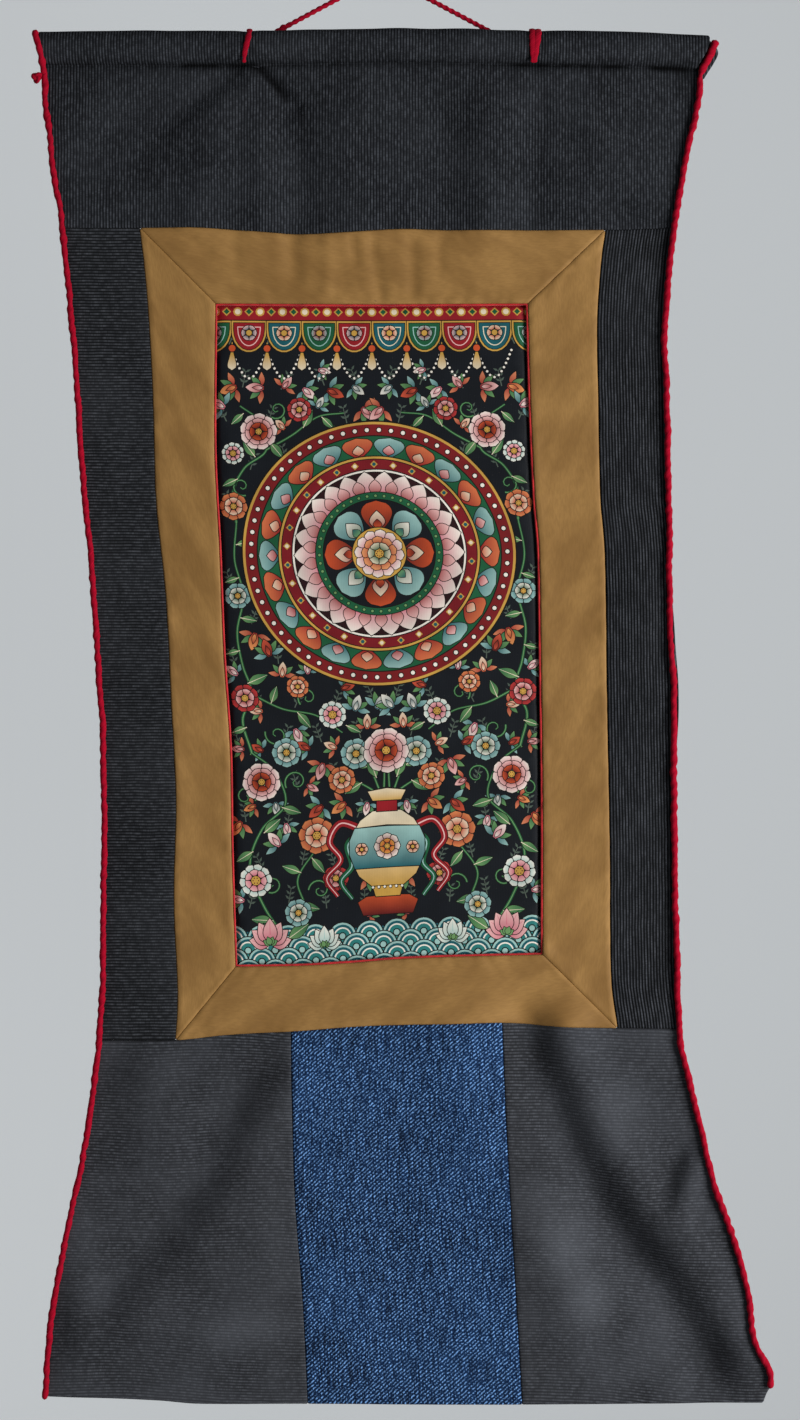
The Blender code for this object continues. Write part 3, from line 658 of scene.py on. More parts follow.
def denim_twill():
    made, tree, surface = new_material("indigo_denim_ring_spun_twill", 0.92, 0.1)
    lay = add(tree, "lay")
    over, along, _ = add(tree, "parts", lay)
    wander = add(tree, "noise", lay, 300.0, 2.0)
    slant = add(tree, "MULTIPLY", along, -math.cos(TWILL_ANGLE) / TWILL)
    wales = chain(
        tree, over, ("MULTIPLY", math.sin(TWILL_ANGLE) / TWILL), ("ADD", slant),
        ("ADD", add(tree, "MULTIPLY", wander, 0.5)),
        ("MULTIPLY", 2 * math.pi), ("SINE", 0.0), ("MULTIPLY", 0.5), ("ADD", 0.5),
    )
    slub_at = add(tree, "place", add(tree, "DIVIDE", over, SLUB[0]), add(tree, "DIVIDE", along, SLUB[1]))
    slubs = add(tree, "noise", slub_at, 1.0, 3.0)
    grain = add(tree, "noise", lay, 900.0, 1.0)
    white = chain(
        tree, wales, ("POWER", 2.2), ("MULTIPLY", add(tree, "ramp", grain, 0.42, 0.60, 0.05, 1.2)),
        ("MULTIPLY", add(tree, "ramp", slubs, 0.34, 0.66, 0.25, 1.0)),
    )
    indigo = add(tree, "blend", add(tree, "ramp", slubs, 0.3, 0.7), "#03081A", "#0A2348")
    slow = add(tree, "ramp", add(tree, "noise", lay, 14.0, 3.0), 0.3, 0.75, 0.0, 0.10)
    faded = add(tree, "blend", slow, indigo, "#2F5FA0")
    tree.links.new(add(tree, "blend", white, faded, "#86BBFC"), surface["Base Color"])
    height = chain(tree, wales, ("MULTIPLY", 0.7), ("ADD", grain))
    tree.links.new(add(tree, "bump", height, 0.6, 0.3 * MM), surface["Normal"])
    return made


DENIM = denim_twill()
print("twill lines every", TWILL / MM, "mm")

# %% [markdown]
# ## Tan cotton
# The frame is a close, smooth cotton sateen, mustard and a little greasy in
# the light. Its threads are about 0.3 mm, too fine to see here, so a coarser
# slub stands for them. It has crease shadows and a few stray specks.

# %% Tan cotton material


def tan_cotton():
    made, tree, surface = new_material("mustard_cotton_sateen", 0.66, 0.25, 0.08, "#F2D9A0")
    lay = add(tree, "lay")
    slow = add(tree, "ramp", add(tree, "noise", lay, 32.0, 4.0), 0.3, 0.72)
    slubs = add(tree, "noise", add(tree, "stretch", lay, (900.0, 220.0, 1.0)), 1.0, 2.0)
    body = add(tree, "blend", slow, "#8B6635", "#A57D46")
    speck = add(tree, "ramp", add(tree, "cells", lay, 70.0), 0.035, 0.06, 0.75, 0.0)
    seldom = add(tree, "ramp", add(tree, "noise", lay, 45.0), 0.58, 0.62)
    thready = add(tree, "blend", add(tree, "ramp", slubs, 0.3, 0.7, 0.0, 0.22), body, "#6F4F28")
    marked = add(tree, "blend", add(tree, "MULTIPLY", speck, seldom), thready, "#3E2C19")
    tree.links.new(marked, surface["Base Color"])
    tree.links.new(add(tree, "bump", slubs, 0.35, 0.1 * MM), surface["Normal"])
    return made


TAN_COTTON = tan_cotton()
print("material:", TAN_COTTON.name)

# %% [markdown]
# ## Cutting a panel
# A panel is a surface stretched between four curves. At a seam the real cloth
# turns back behind itself, and the little round of that fold is what draws
# the dark line between two panels. So each edge of a cut is given its fold:
# a half circle and then an allowance that lies flat behind. The cloth's own
# thickness comes from a Solidify modifier.

# %% Panels with folded edges
THICK = 1.0 * MM
FOLD_RADIUS = 0.65 * MM
STEP = 2.1 * MM
SEAM_ALLOWANCE = 7 * MM
HEM_ALLOWANCE = 20 * MM
FOLD_EDGE = THICK / 2 - 0.12 * MM  # where the middle of a fold stops, so that two pressed folds touch


def folded_end(allowance):
    """From a cut end to the flat front: (distance from the seam, depth behind, distance in the cut)."""
    arc = [
        (FOLD_EDGE + FOLD_RADIUS * (1 - math.sin(a)), FOLD_RADIUS * (1 - math.cos(a)), -FOLD_RADIUS * a)
        for a in (math.pi, 0.75 * math.pi, 0.5 * math.pi, 0.25 * math.pi)
    ]
    turn = math.pi * FOLD_RADIUS
    flat = FOLD_EDGE + FOLD_RADIUS
    run = [(flat + allowance * t, 2 * FOLD_RADIUS, -turn - allowance * t) for t in (1.0, 0.66, 0.33)]
    return run + arc


def axis_of(length, low, high):
    """Places along one way of a cut, as rows: metres from the low end, plus a share of the length;
    depth behind the front; and the place in the flat cut, in metres plus a share of its front."""
    inset = FOLD_EDGE + FOLD_RADIUS
    shares = np.linspace(0, 1, max(2, round((length - 2 * inset) / STEP)) + 1)
    rows = [(d, 0.0, depth, cut, 0.0) for d, depth, cut in folded_end(low)]
    rows += [(inset * (1 - 2 * f), f, 0.0, 0.0, f) for f in shares]
    rows += [(-d, 1.0, depth, -cut, 1.0) for d, depth, cut in reversed(folded_end(high))]
    return np.array(rows)


print("a fold takes", round(math.pi * FOLD_RADIUS / MM, 2), "mm of cloth")

# %% [markdown]
# ### The surface between four curves
# A side of a cut is a function from 0 to 1, so a wavy seam and a straight mitre
# are used alike. The four are blended into one surface, as a sheet stretched in
# a bent frame would lie.

# %% The surface between four curves


def side_of(table, top, bottom, edge=None):
    """A side as a function from 0..1 to (x, drop)."""
    curve = edge or (lambda drop: smooth(table, drop))

    def point(t):
        drop = top + (bottom - top) * np.asarray(t, float)
        return np.stack([curve(drop), drop], axis=-1)
    return point


def across(table, left, right):
    def point(t):
        x = left + (right - left) * np.asarray(t, float)
        return np.stack([x, smooth(table, x)], axis=-1)
    return point


def straight(start, end):
    start, end = np.array(start), np.array(end)
    return lambda t: start + (end - start) * np.asarray(t, float)[..., None]


def patch(left, right, top, bottom, u, v):
    """Points (x, drop) of the surface that four curves bound, at u across and v down."""
    u, v = np.broadcast_arrays(u, v)
    a, b = u[..., None], v[..., None]
    sides = left(v) * (1 - a) + right(v) * a + top(u) * (1 - b) + bottom(u) * b
    corners = (
        (top(0.0) * (1 - a) + top(1.0) * a) * (1 - b)
        + (bottom(0.0) * (1 - a) + bottom(1.0) * a) * b
    )
    return sides - corners


print("a seam takes", SEAM_ALLOWANCE / MM, "mm and the hem", HEM_ALLOWANCE / MM)

# %% [markdown]
# ### Cutting one panel and hanging it
# One function makes every sewn panel: it lays a grid in the surface, turns its
# edges back, gives it the folds of the hanging, and keeps where each point was
# in the flat cut, so that the pattern of the cloth follows the cut.

# %% Cut and hang a panel


def hung_sheet(piece, node, long, wide, thickness=THICK):
    """Makes a piece cloth that hangs: gives it its thickness, hides its solid and prints the size of the flat
    cut that it is made of.
    """
    solid = piece.modifiers.new("cloth_thickness", "SOLIDIFY")
    solid.thickness = thickness
    solid.offset = 0.0
    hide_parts(node)
    print(node, "flat", round(wide, 3), "x", round(long, 3), "faces", len(piece.data.polygons))


# Painted shade and painted highlight over the skirts' folds and crumples: (x, drop, half across, half down,
# darker above 0)
PAINTED_SKIRT_SHADING = (
    (0.098, 0.698, 0.014, 0.018, -0.34), (0.113, 0.728, 0.014, 0.018, -0.34),
    (0.119, 0.592, 0.012, 0.018, -0.12), (0.132, 0.622, 0.012, 0.018, -0.17),
    (0.147, 0.650, 0.011, 0.016, -0.10), (0.145, 0.697, 0.015, 0.016, 0.36),
    (0.182, 0.759, 0.012, 0.016, 0.42), (0.088, 0.588, 0.008, 0.014, 0.40),
    (0.108, 0.640, 0.008, 0.020, 0.22), (0.159, 0.660, 0.006, 0.013, 0.45),
    (-0.074, 0.622, 0.011, 0.018, 0.36), (-0.102, 0.676, 0.016, 0.012, 0.22),
    (-0.141, 0.604, 0.016, 0.012, 0.30), (-0.172, 0.740, 0.008, 0.022, 0.30),
    (-0.082, 0.746, 0.030, 0.012, -0.22), (-0.060, 0.690, 0.012, 0.030, -0.16),
)
PUCKER_REACH = 0.009  # how far from a seam its puckers fade
SAG = {"slope": 0.035, "size": 0.11, "height": 0.006}  # how the ribs of the skirts run off level


def painted_skirt_shading(x, drop):
    """How much painted shade the skirts have at a place, or below 0, how much painted highlight."""
    return sum(
        amount * np.exp(-(((x - at_x) / across_by) ** 2 + ((drop - at_drop) / down_by) ** 2))
        for at_x, at_drop, across_by, down_by, amount in PAINTED_SKIRT_SHADING
    )


def cut_panel(node, look, curves, material, ribs, pucker=0.0, allowances=(SEAM_ALLOWANCE,) * 4):
    """One sewn panel. ribs says which way its pattern runs; pucker is how far its seams ripple."""
    left, right, top, bottom = curves
    width = np.linalg.norm(left(0.5) - right(0.5))
    height = np.linalg.norm(top(0.5) - bottom(0.5))
    columns = axis_of(width, allowances[0], allowances[1])
    lines = axis_of(height, allowances[2], allowances[3])
    v_near = np.clip(lines[:, 0] / height + lines[:, 1], 0, 1)
    u_near = np.clip(columns[:, 0] / width + columns[:, 1], 0, 1)
    wide = np.linalg.norm(left(v_near) - right(v_near), axis=-1)
    tall = np.linalg.norm(top(u_near) - bottom(u_near), axis=-1)
    u = columns[None, :, 0] / wide[:, None] + columns[None, :, 1]
    v = lines[:, None, 0] / tall[None, :] + lines[:, None, 1]
    places = patch(left, right, top, bottom, u, v)
    x, drop = places[..., 0], places[..., 1]
    y = fine_y(x, drop) + columns[None, :, 2] + lines[:, None, 2]
    if pucker:
        from_sides = np.minimum(u, 1 - u) * wide[:, None]
        from_ends = np.minimum(v, 1 - v) * tall[None, :]
        near = np.exp(-from_sides / PUCKER_REACH) + np.exp(-from_ends / PUCKER_REACH)
        front = 1 - np.clip((columns[None, :, 2] + lines[:, None, 2]) / (2 * FOLD_RADIUS), 0, 1)
        y = y - near * front * np.abs(unevenness(x, drop, PUCKER_REACH, pucker))
    inset = FOLD_EDGE + FOLD_RADIUS
    cut_x = columns[None, :, 3] + columns[None, :, 4] * (wide[:, None] - 2 * inset)
    cut_y = lines[:, None, 3] + lines[:, None, 4] * (tall[None, :] - 2 * inset)
    lay = {
        "up the seam": (cut_x, -drop),
        "across": (-drop, x),
        "across, sagging": (-drop + SAG["slope"] * x + unevenness(x, drop, SAG["size"], SAG["height"]), x),
        "as cut": (cut_x, -cut_y),
        "turned": (cut_y, cut_x),
    }[ribs]
    # Painted shade and painted highlight, on the skirts only
    dark = painted_skirt_shading(x, drop) if material is SKIRT_CLOTH else np.zeros(x.shape)
    piece = mesh_piece(
        look, np.stack([x, y, -drop], axis=-1).reshape(-1, 3), grid_faces(*x.shape),
        np.stack([lay[0].ravel(), lay[1].ravel(), dark.ravel()], axis=1), material,
    )
    turned = 2 * math.pi * FOLD_RADIUS - 2 * inset
    hung_sheet(
        piece, node,
        float(tall.max()) + turned + allowances[2] + allowances[3],
        float(wide.max()) + turned + allowances[0] + allowances[1],
    )


# These patches are painted shade and painted highlight.
print("patches of wear on the skirts:", len(PAINTED_SKIRT_SHADING))

# %% [markdown]
# ## The heading and its rod sleeve
# The top panel is one cut. Its upper end is folded back on itself and sewn
# down along a groove, which leaves an open sleeve for a rod. The rows of the
# mesh follow the cloth round that fold, and everything that turns back goes to
# the wrong side of the cloth, wherever that side faces.

# %% Heading with its sleeve

# The sleeve from the groove, up its front, over the top and down its back:
# (y, drop, x of the left end, x of the right end)
SLEEVE = (
    (-0.0046, 0.0484, -0.1884, 0.1734),
    (-0.0095, 0.0470, -0.1885, 0.1736),
    (-0.0130, 0.0440, -0.1887, 0.1752),
    (-0.0142, 0.0400, -0.1890, 0.1772),
    (-0.0134, 0.0350, -0.1892, 0.1788),
    (-0.0108, 0.0319, -0.1893, 0.1792),
    (-0.0078, 0.0310, -0.1893, 0.1794),
    (-0.0046, 0.0317, -0.1893, 0.1795),
    (-0.0026, 0.0340, -0.1893, 0.1822),
    (-0.0022, 0.0385, -0.1892, 0.1846),
    (-0.0022, 0.0440, -0.1889, 0.1823),
    (-0.0022, 0.0500, -0.1884, 0.1785),
    (-0.0022, 0.0530, -0.1881, 0.1768),
)
SLEEVE_TOP = 0.0310
TOP_EDGE = (
    (-0.1890, 0.0314), (-0.0732, 0.0309), (0.0094, 0.0298), (0.0864, 0.0309),
    (0.1450, 0.0322), (0.1800, 0.0340),
)
TIE_PINCHES = ((-0.0748, 0.0040, 0.0006), (0.0832, 0.0060, 0.0007))  # x, half width, depth
# Painted shade darkens the groove below the sleeve most along these spans
DARK_GROOVES = ((-0.095, 0.032), (0.085, 0.024), (0.125, 0.038))  # x of the middle, half length
PINCHED_END = 0.163  # x of the sleeve's pinched right end
GROOVE = {"depth": 0.0004, "beside_ties": 0.0008, "tie_reach": 0.045, "half_width": 1.7 * MM}
# How strong and how wide the painted shade is: in the groove under the sleeve, in the crease beside the left
# tie and at the pinched end
SHADE_UNDER_SLEEVE = {"least": 0.35, "half_width": 2.5 * MM}
CREASE_SHADE = {"amount": 0.9, "half_width": 2.6 * MM}
PINCHED_END_SHADE = {"amount": 0.45, "half_across": 0.009, "half_down": 0.011}
HEADING_WIDTH = 0.362
HEADING_CUT = 0.3745  # the widest row of the cut, without its allowances


def sleeve_rows():
    """The sleeve's rows again, closer together, each with the direction of its wrong side."""
    rows = np.array(SLEEVE)
    run = run_along(rows[:, :2])
    at = np.linspace(0, run[-1], int(run[-1] / (1.2 * MM)))
    y, drop, left, right = (smooth(np.stack([run, rows[:, i]], axis=1), at) for i in range(4))
    along_y, along_z = np.gradient(y), -np.gradient(drop)
    long = np.hypot(along_y, along_z)
    return y, drop, left, right, along_z / long, -along_y / long, at


def heading():
    seam_drop, groove = TOP_SEAM[0][1], SLEEVE[0][1]
    columns = axis_of(HEADING_WIDTH, SEAM_ALLOWANCE, SEAM_ALLOWANCE)
    folded = np.array([(d, 0.0, depth, cut) for d, depth, cut in folded_end(SEAM_ALLOWANCE)])
    tall = seam_drop - groove
    count = round(tall / STEP)
    shares = list(np.arange(count) / count) + [1 - near / tall for near in (1.5 * MM, 0.8 * MM)]
    flat = np.array([(FOLD_EDGE + FOLD_RADIUS, f, 0.0, f * tall) for f in shares])
    shape = []

    def groove_depth(x, distance):
        """How far the stitching pulls the cloth in at the groove, most beside the ties."""
        ties = sum(np.exp(-(((x - tie_x) / GROOVE["tie_reach"]) ** 2)) for tie_x, _, _ in TIE_PINCHES)
        uneven = unevenness(x, np.full(np.shape(x), 0.4), 0.011, 0.0006)
        depth = GROOVE["depth"] + GROOVE["beside_ties"] * ties + uneven
        return depth * np.exp(-((distance / GROOVE["half_width"]) ** 2))

    def painted_groove_shade(x, drop, distance):
        """How much painted shade darkens the groove below the sleeve, the crease beside the left tie and the
        pinched end.
        """
        lengths = sum(np.exp(-(((x - middle) / half) ** 4)) for middle, half in DARK_GROOVES)
        patchy = np.clip(0.75 + unevenness(x, np.full(np.shape(x), 0.9), 0.009, 1.0), 0, 1)
        near = np.exp(-((distance / SHADE_UNDER_SLEEVE["half_width"]) ** 2))
        groove_part = np.clip(SHADE_UNDER_SLEEVE["least"] + lengths, 0, 1) * patchy * near
        from_crease = distance_to_path(x, drop, FINE_FOLDS[0][2][:3]) / CREASE_SHADE["half_width"]
        crease_part = CREASE_SHADE["amount"] * np.exp(-(from_crease ** 2))
        over, down = (x - PINCHED_END) / PINCHED_END_SHADE["half_across"], distance / PINCHED_END_SHADE["half_down"]
        end_part = PINCHED_END_SHADE["amount"] * np.exp(-(over ** 2 + down ** 2))
        return np.clip(groove_part + crease_part + end_part, 0, 0.95)

    for d, share, depth, cut in np.concatenate([folded, flat]):
        level = seam_drop + (groove - seam_drop) * share
        left, right = left_edge(level), right_edge(level)
        x = left + columns[:, 0] + columns[:, 1] * (right - left)
        bow = smooth(TOP_EDGE, x) - SLEEVE_TOP
        start = smooth(TOP_SEAM, x)
        drop = start - d * (1 - share) + (groove + bow - start) * share
        y = fine_y(x, drop) + depth + columns[:, 2] + groove_depth(x, (1 - share) * tall)
        # Painted shade, carried to the cloth's colour in the third coordinate of lay
        dark = painted_groove_shade(x, drop, (1 - share) * tall)
        shape.append((x, y, drop, np.full(len(x), cut), dark))
    for y, drop, left, right, in_y, in_z, at in zip(*sleeve_rows()):
        x = left + columns[:, 0] + columns[:, 1] * (right - left)
        bow = smooth(TOP_EDGE, x) - SLEEVE_TOP
        rough = unevenness(x, np.full(len(x), drop + 3 * y), 0.024, 0.0007)
        inward = columns[:, 2] + rough * soft_step(0.0, 0.006, at)
        for tie_x, half_width, deep in TIE_PINCHES:
            inward = inward + deep * np.exp(-(((x - tie_x) / half_width) ** 2)) * soft_step(0.0, 0.003, at)
        pulled = y + in_y * inward + groove_depth(x, at)
        low = drop + bow - in_z * inward
        away = low + 1.0  # the sleeve has no part in the crease below it
        shape.append((x, pulled, low, np.full(len(x), tall + at), painted_groove_shade(x, away, at)))
    x, y, drop, cut, dark = (np.array([row[i] for row in shape]) for i in range(5))
    lay = np.stack([x.ravel(), cut.ravel(), dark.ravel()], axis=1)
    verts = np.stack([x, y, -drop], axis=-1).reshape(-1, 3)
    piece = mesh_piece("heading_with_rod_sleeve", verts, grid_faces(*x.shape), lay, HEADING_CLOTH)
    long = float(cut.max() - cut.min())
    hung_sheet(piece, "top_panel", long, HEADING_CUT + 2 * SEAM_ALLOWANCE)


heading()

# %% [markdown]
# ## Side borders
# Two strips of the same cloth beside the frame. On the left the ribs run
# across; on the right they run up the strip and fan a little with it, and the
# strip was cut from a bolder stretch of the cloth.

# %% Side borders


def side_borders():
    top, bottom = TOP_SEAM[1][1], BOTTOM_SEAM[1][1]
    upper, lower = FRAME_LEFT[0], FRAME_LEFT[-1]
    cut_panel(
        "border_left", "left_border_ribs_across",
        (side_of(None, top, bottom, left_edge), side_of(FRAME_LEFT, upper[0], lower[0]),
         across(TOP_SEAM, left_edge(top), upper[1]), across(BOTTOM_SEAM, left_edge(bottom), lower[1])),
        BORDER_CLOTH, "across",
    )
    top, bottom = TOP_SEAM[-1][1], BOTTOM_SEAM[-1][1]
    upper, lower = FRAME_RIGHT[0], FRAME_RIGHT[-1]
    cut_panel(
        "border_right", "right_border_ribs_up",
        (side_of(FRAME_RIGHT, upper[0], lower[0]), side_of(None, top, bottom, right_edge),
         across(TOP_SEAM, upper[1], right_edge(top)), across(BOTTOM_SEAM, lower[1], right_edge(bottom))),
        BORDER_STRONG, "up the seam",
    )


side_borders()

# %% [markdown]
# ## Skirt
# Three panels below: cord, denim, cord. Their lower edge is turned up behind
# by 20 mm, so the hem is part of each cut and not a piece of its own.

# %% Skirt
SKIRT_ALLOWANCES = (SEAM_ALLOWANCE, SEAM_ALLOWANCE, SEAM_ALLOWANCE, HEM_ALLOWANCE)


def skirt():
    bottom_left, bottom_right = HEM[0][1], HEM[-1][1]
    seam_left, seam_right = BOTTOM_SEAM[0][1], BOTTOM_SEAM[-1][1]
    denim_left = side_of(DENIM_LEFT, DENIM_LEFT[0][0], DENIM_LEFT[-1][0])
    denim_right = side_of(DENIM_RIGHT, DENIM_RIGHT[0][0], DENIM_RIGHT[-1][0])
    top_left, top_right = DENIM_LEFT[0][1], DENIM_RIGHT[0][1]
    hem_left, hem_right = DENIM_LEFT[-1][1], DENIM_RIGHT[-1][1]
    cut_panel(
        "skirt_left", "skirt_panel_left",
        (side_of(None, seam_left, bottom_left, left_edge), denim_left,
         across(BOTTOM_SEAM, left_edge(seam_left), top_left),
         across(HEM, left_edge(bottom_left), hem_left)),
        SKIRT_CLOTH, "across, sagging", 0.0003, SKIRT_ALLOWANCES,
    )
    cut_panel(
        "skirt_denim", "skirt_panel_of_denim",
        (denim_left, denim_right, across(BOTTOM_SEAM, top_left, top_right), across(HEM, hem_left, hem_right)),
        DENIM, "as cut", 0.0004, SKIRT_ALLOWANCES,
    )
    cut_panel(
        "skirt_right", "skirt_panel_right",
        (denim_right, side_of(None, seam_right, bottom_right, right_edge),
         across(BOTTOM_SEAM, top_right, right_edge(seam_right)), across(HEM, hem_right, HEM[-1][0])),
        SKIRT_CLOTH, "across, sagging", 0.0003, SKIRT_ALLOWANCES,
    )


skirt()

# %% [markdown]
# ## Mitred cotton frame
# Four strips meet in slanting seams at the corners. Each seam pulls the
# cotton into faint puckers, so the mesh ripples a little beside it.

# %% Cotton frame


def frame_corners():
    """The outer and inner corners of the cotton frame, as (x, drop)."""
    corners = []
    for left, right in ((FRAME_LEFT, FRAME_RIGHT), (OPENING_LEFT, OPENING_RIGHT)):
        corners.append([(x, drop) for drop, x in (left[0], right[0], left[-1], right[-1])])
    return corners


def cotton_frame():
    outer, inner = frame_corners()
    mitre = [straight(a, b) for a, b in zip(outer, inner)]
    back = [straight(b, a) for a, b in zip(outer, inner)]
    strips = {
        "frame_top": (mitre[0], mitre[1], across(TOP_SEAM, outer[0][0], outer[1][0]),
                      across(OPENING_TOP, inner[0][0], inner[1][0])),
        "frame_bottom": (back[2], back[3], across(OPENING_BOTTOM, inner[2][0], inner[3][0]),
                         across(BOTTOM_SEAM, outer[2][0], outer[3][0])),
        "frame_left": (side_of(FRAME_LEFT, outer[0][1], outer[2][1]),
                       side_of(OPENING_LEFT, inner[0][1], inner[2][1]),
                       mitre[0], straight(outer[2], inner[2])),
        "frame_right": (side_of(OPENING_RIGHT, inner[1][1], inner[3][1]),
                        side_of(FRAME_RIGHT, outer[1][1], outer[3][1]),
                        straight(inner[1], outer[1]), straight(inner[3], outer[3])),
    }
    for node, curves in strips.items():
        lies = "turned" if node in ("frame_top", "frame_bottom") else "as cut"
        look = node.replace("frame", "cotton_strip")
        cut_panel(node, look, curves, TAN_COTTON, lies, 0.0012)


cotton_frame()

# %% [markdown]
# ## The painting's design
# The canvas carries a general pattern, fine and full: a round rosette under a
# brocade canopy, with a vase of flowers and lotus scrolls on a night ground.
# An image file would be quick but stays sharp at one size only, so the motifs
# are drawn as shapes. Each is a few outlines, and each outline is inked first
# and then filled a little smaller, which is how the brush lines come about.

# %% Drawing tools for the painting
PAINTED = (171.0, 363.0)  # the picture's size in mm
MIDDLE = PAINTED[0] / 2
UNDER_PIPING = 7.0  # how far the canvas runs on behind the frame, in mm
INK = "#15110F"
RED, MAROON, ORANGE = "#931C24", "#561419", "#C6502B"
GREEN, LEAF, TEAL, PALE_TEAL = "#1D5A3A", "#6E9A62", "#1B5A63", "#9CC3BD"
CREAM, WHITE, PINK, PALE_PINK, GOLD = "#E6D9BE", "#EFE9DD", "#C8667A", "#EBBDB9", "#C79B48"
NIGHT = "#12161C"
shapes = []

PETALS = {
    "leaf": ((0, 0.0), (0.12, 0.5), (0.35, 0.98), (0.6, 0.88), (0.84, 0.42), (1, 0.0)),
    "round": ((0, 0.3), (0.3, 0.78), (0.6, 1.0), (0.85, 0.78), (0.96, 0.4), (1, 0.0)),
    "lotus": ((0, 0.4), (0.3, 0.9), (0.5, 1.0), (0.75, 0.72), (0.92, 0.27), (1, 0.0)),
    "drop": ((0, 0.0), (0.3, 0.28), (0.6, 0.72), (0.8, 1.0), (0.93, 0.75), (1, 0.0)),
}


def paint(outline, colour, base=None, line=None):
    """Adds a flat shape. With a base colour it shades from that at line's start to colour at its end."""
    shapes.append((np.asarray(outline, float), colour, base, line))


def band(top, bottom, colour):
    """A band right across the canvas, as far as it runs on behind the frame."""
    left, right = -UNDER_PIPING, PAINTED[0] + UNDER_PIPING
    paint([(left, top), (right, top), (right, bottom), (left, bottom)], colour)


def shrunk(outline, by):
    """An outline drawn in by a distance, to leave an inked line round its filling."""
    before = outline - np.roll(outline, 1, axis=0)
    after = np.roll(outline, -1, axis=0) - outline
    before /= np.maximum(np.linalg.norm(before, axis=1), 1e-9)[:, None]
    after /= np.maximum(np.linalg.norm(after, axis=1), 1e-9)[:, None]
    x, y = outline.T
    turned = np.sign(np.sum(x * np.roll(y, -1) - np.roll(x, -1) * y))
    inwards = np.stack([-(before + after)[:, 1], (before + after)[:, 0]], axis=1) * turned
    long = np.maximum(np.linalg.norm(inwards, axis=1), 1e-6)
    half_corner = np.maximum(long / 2, 0.5)
    return outline + inwards / long[:, None] * (by / half_corner)[:, None]


def inked(outline, colour, base=None, line=None, pen=0.5):
    paint(outline, INK)
    paint(shrunk(outline, pen), colour, base, line)


print("colours are mixed between a base and a tip")

# %% [markdown]
# ### Outlines
# Circles, petals, brush strokes and spirals are all that the motifs need. A
# petal is half its width at a few places along its spine, so four short tables
# give four kinds.

# %% Outlines


def circle(at, radius, sides=None):
    sides = sides or max(9, int(radius * 4))
    turn = np.arange(sides) * 2 * math.pi / sides
    return np.array(at) + radius * np.stack([np.cos(turn), np.sin(turn)], axis=1)


def petal(at, angle, start, length, width, kind="lotus"):
    """A petal's outline from a distance start outwards, and the line down its middle."""
    ahead = np.array([math.cos(angle), math.sin(angle)])
    beside = np.array([-ahead[1], ahead[0]])
    steps = np.linspace(0, 1, int(np.clip(int(length * 0.9), 7, 12)))
    half = smooth(PETALS[kind], steps) * width / 2
    spine = np.array(at) + ahead * (start + length * steps)[:, None]
    one = spine + beside * half[:, None]
    other = (spine - beside * half[:, None])[::-1]
    skip = 1 if half[0] < 0.01 else 0
    return np.concatenate([one, other[1:len(other) - skip]]), (spine[0], spine[-1])


def stroke(points, width, taper=0.0):
    """The outline of a brush stroke along a line, thinner at its end by taper."""
    points = np.asarray(points, float)
    run = run_along(points)
    at = np.linspace(0, run[-1], max(3, int(run[-1] / 1.6)))
    line = np.stack([smooth(np.stack([run, points[:, i]], axis=1), at) for i in range(2)], axis=1)
    along = np.gradient(line, axis=0)
    along /= np.linalg.norm(along, axis=1)[:, None]
    half = width / 2 * (1 - taper * at / run[-1])
    beside = np.stack([-along[:, 1], along[:, 0]], axis=1) * half[:, None]
    return np.concatenate([line + beside, (line - beside)[::-1]])


def stem(points, width=1.5, colour=GREEN, light=LEAF):
    paint(stroke(points, width + 0.9, 0.3), INK)
    paint(stroke(points, width, 0.35), colour)
    paint(stroke(points, width * 0.35, 0.5), light)


def curl(at, radius, start, turns, way=1):
    """A spiral line that winds inwards."""
    t = np.linspace(0, 1, 22)
    angle = start + way * 2 * math.pi * turns * t
    reach = radius * (1 - 0.82 * t)
    return np.array(at) + np.stack([np.cos(angle), np.sin(angle)], axis=1) * reach[:, None]


def pearls(points, radius=1.1, gap=2.9):
    """A string of pearls along a line."""
    points = np.asarray(points, float)
    run = run_along(points)
    for place in np.linspace(0, run[-1], max(2, round(run[-1] / gap))):
        at = np.array([np.interp(place, run, points[:, i]) for i in range(2)])
        paint(circle(at, radius, 9), INK)
        paint(circle(at - 0.12, radius * 0.68, 8), WHITE)


print("kinds of petal:", ", ".join(PETALS))

# %% [markdown]
# ### Flowers and leaves
# An open flower is rings of petals round a heart, each ring smaller than the
# one below it. Seen from the side it is a fan of the same petals.

# %% Flowers and leaves


def blossom(at, radius, tiers, turn=0.0, seeds=6):
    """An open flower. Each tier: (petals, outer share, inner share, colour at the tip, at the base)."""
    for tier, (count, outer, inner, tip, base) in enumerate(tiers):
        for k in range(count):
            angle = turn + 2 * math.pi * (k + 0.5 * (tier % 2)) / count
            width = 2 * math.pi * outer * radius / count * 0.92
            outline, spine = petal(at, angle, inner * radius, (outer - inner) * radius, width, "round")
            inked(outline, tip, base, spine, 0.42)
    heart = tiers[-1][2] * radius * 1.25
    inked(circle(at, heart), GOLD, pen=0.4)
    for k in range(seeds):
        angle = 2 * math.pi * k / seeds
        seed_at = np.array(at) + np.array([math.cos(angle), math.sin(angle)]) * heart * 0.52
        paint(circle(seed_at, heart * 0.13, 6), MAROON)


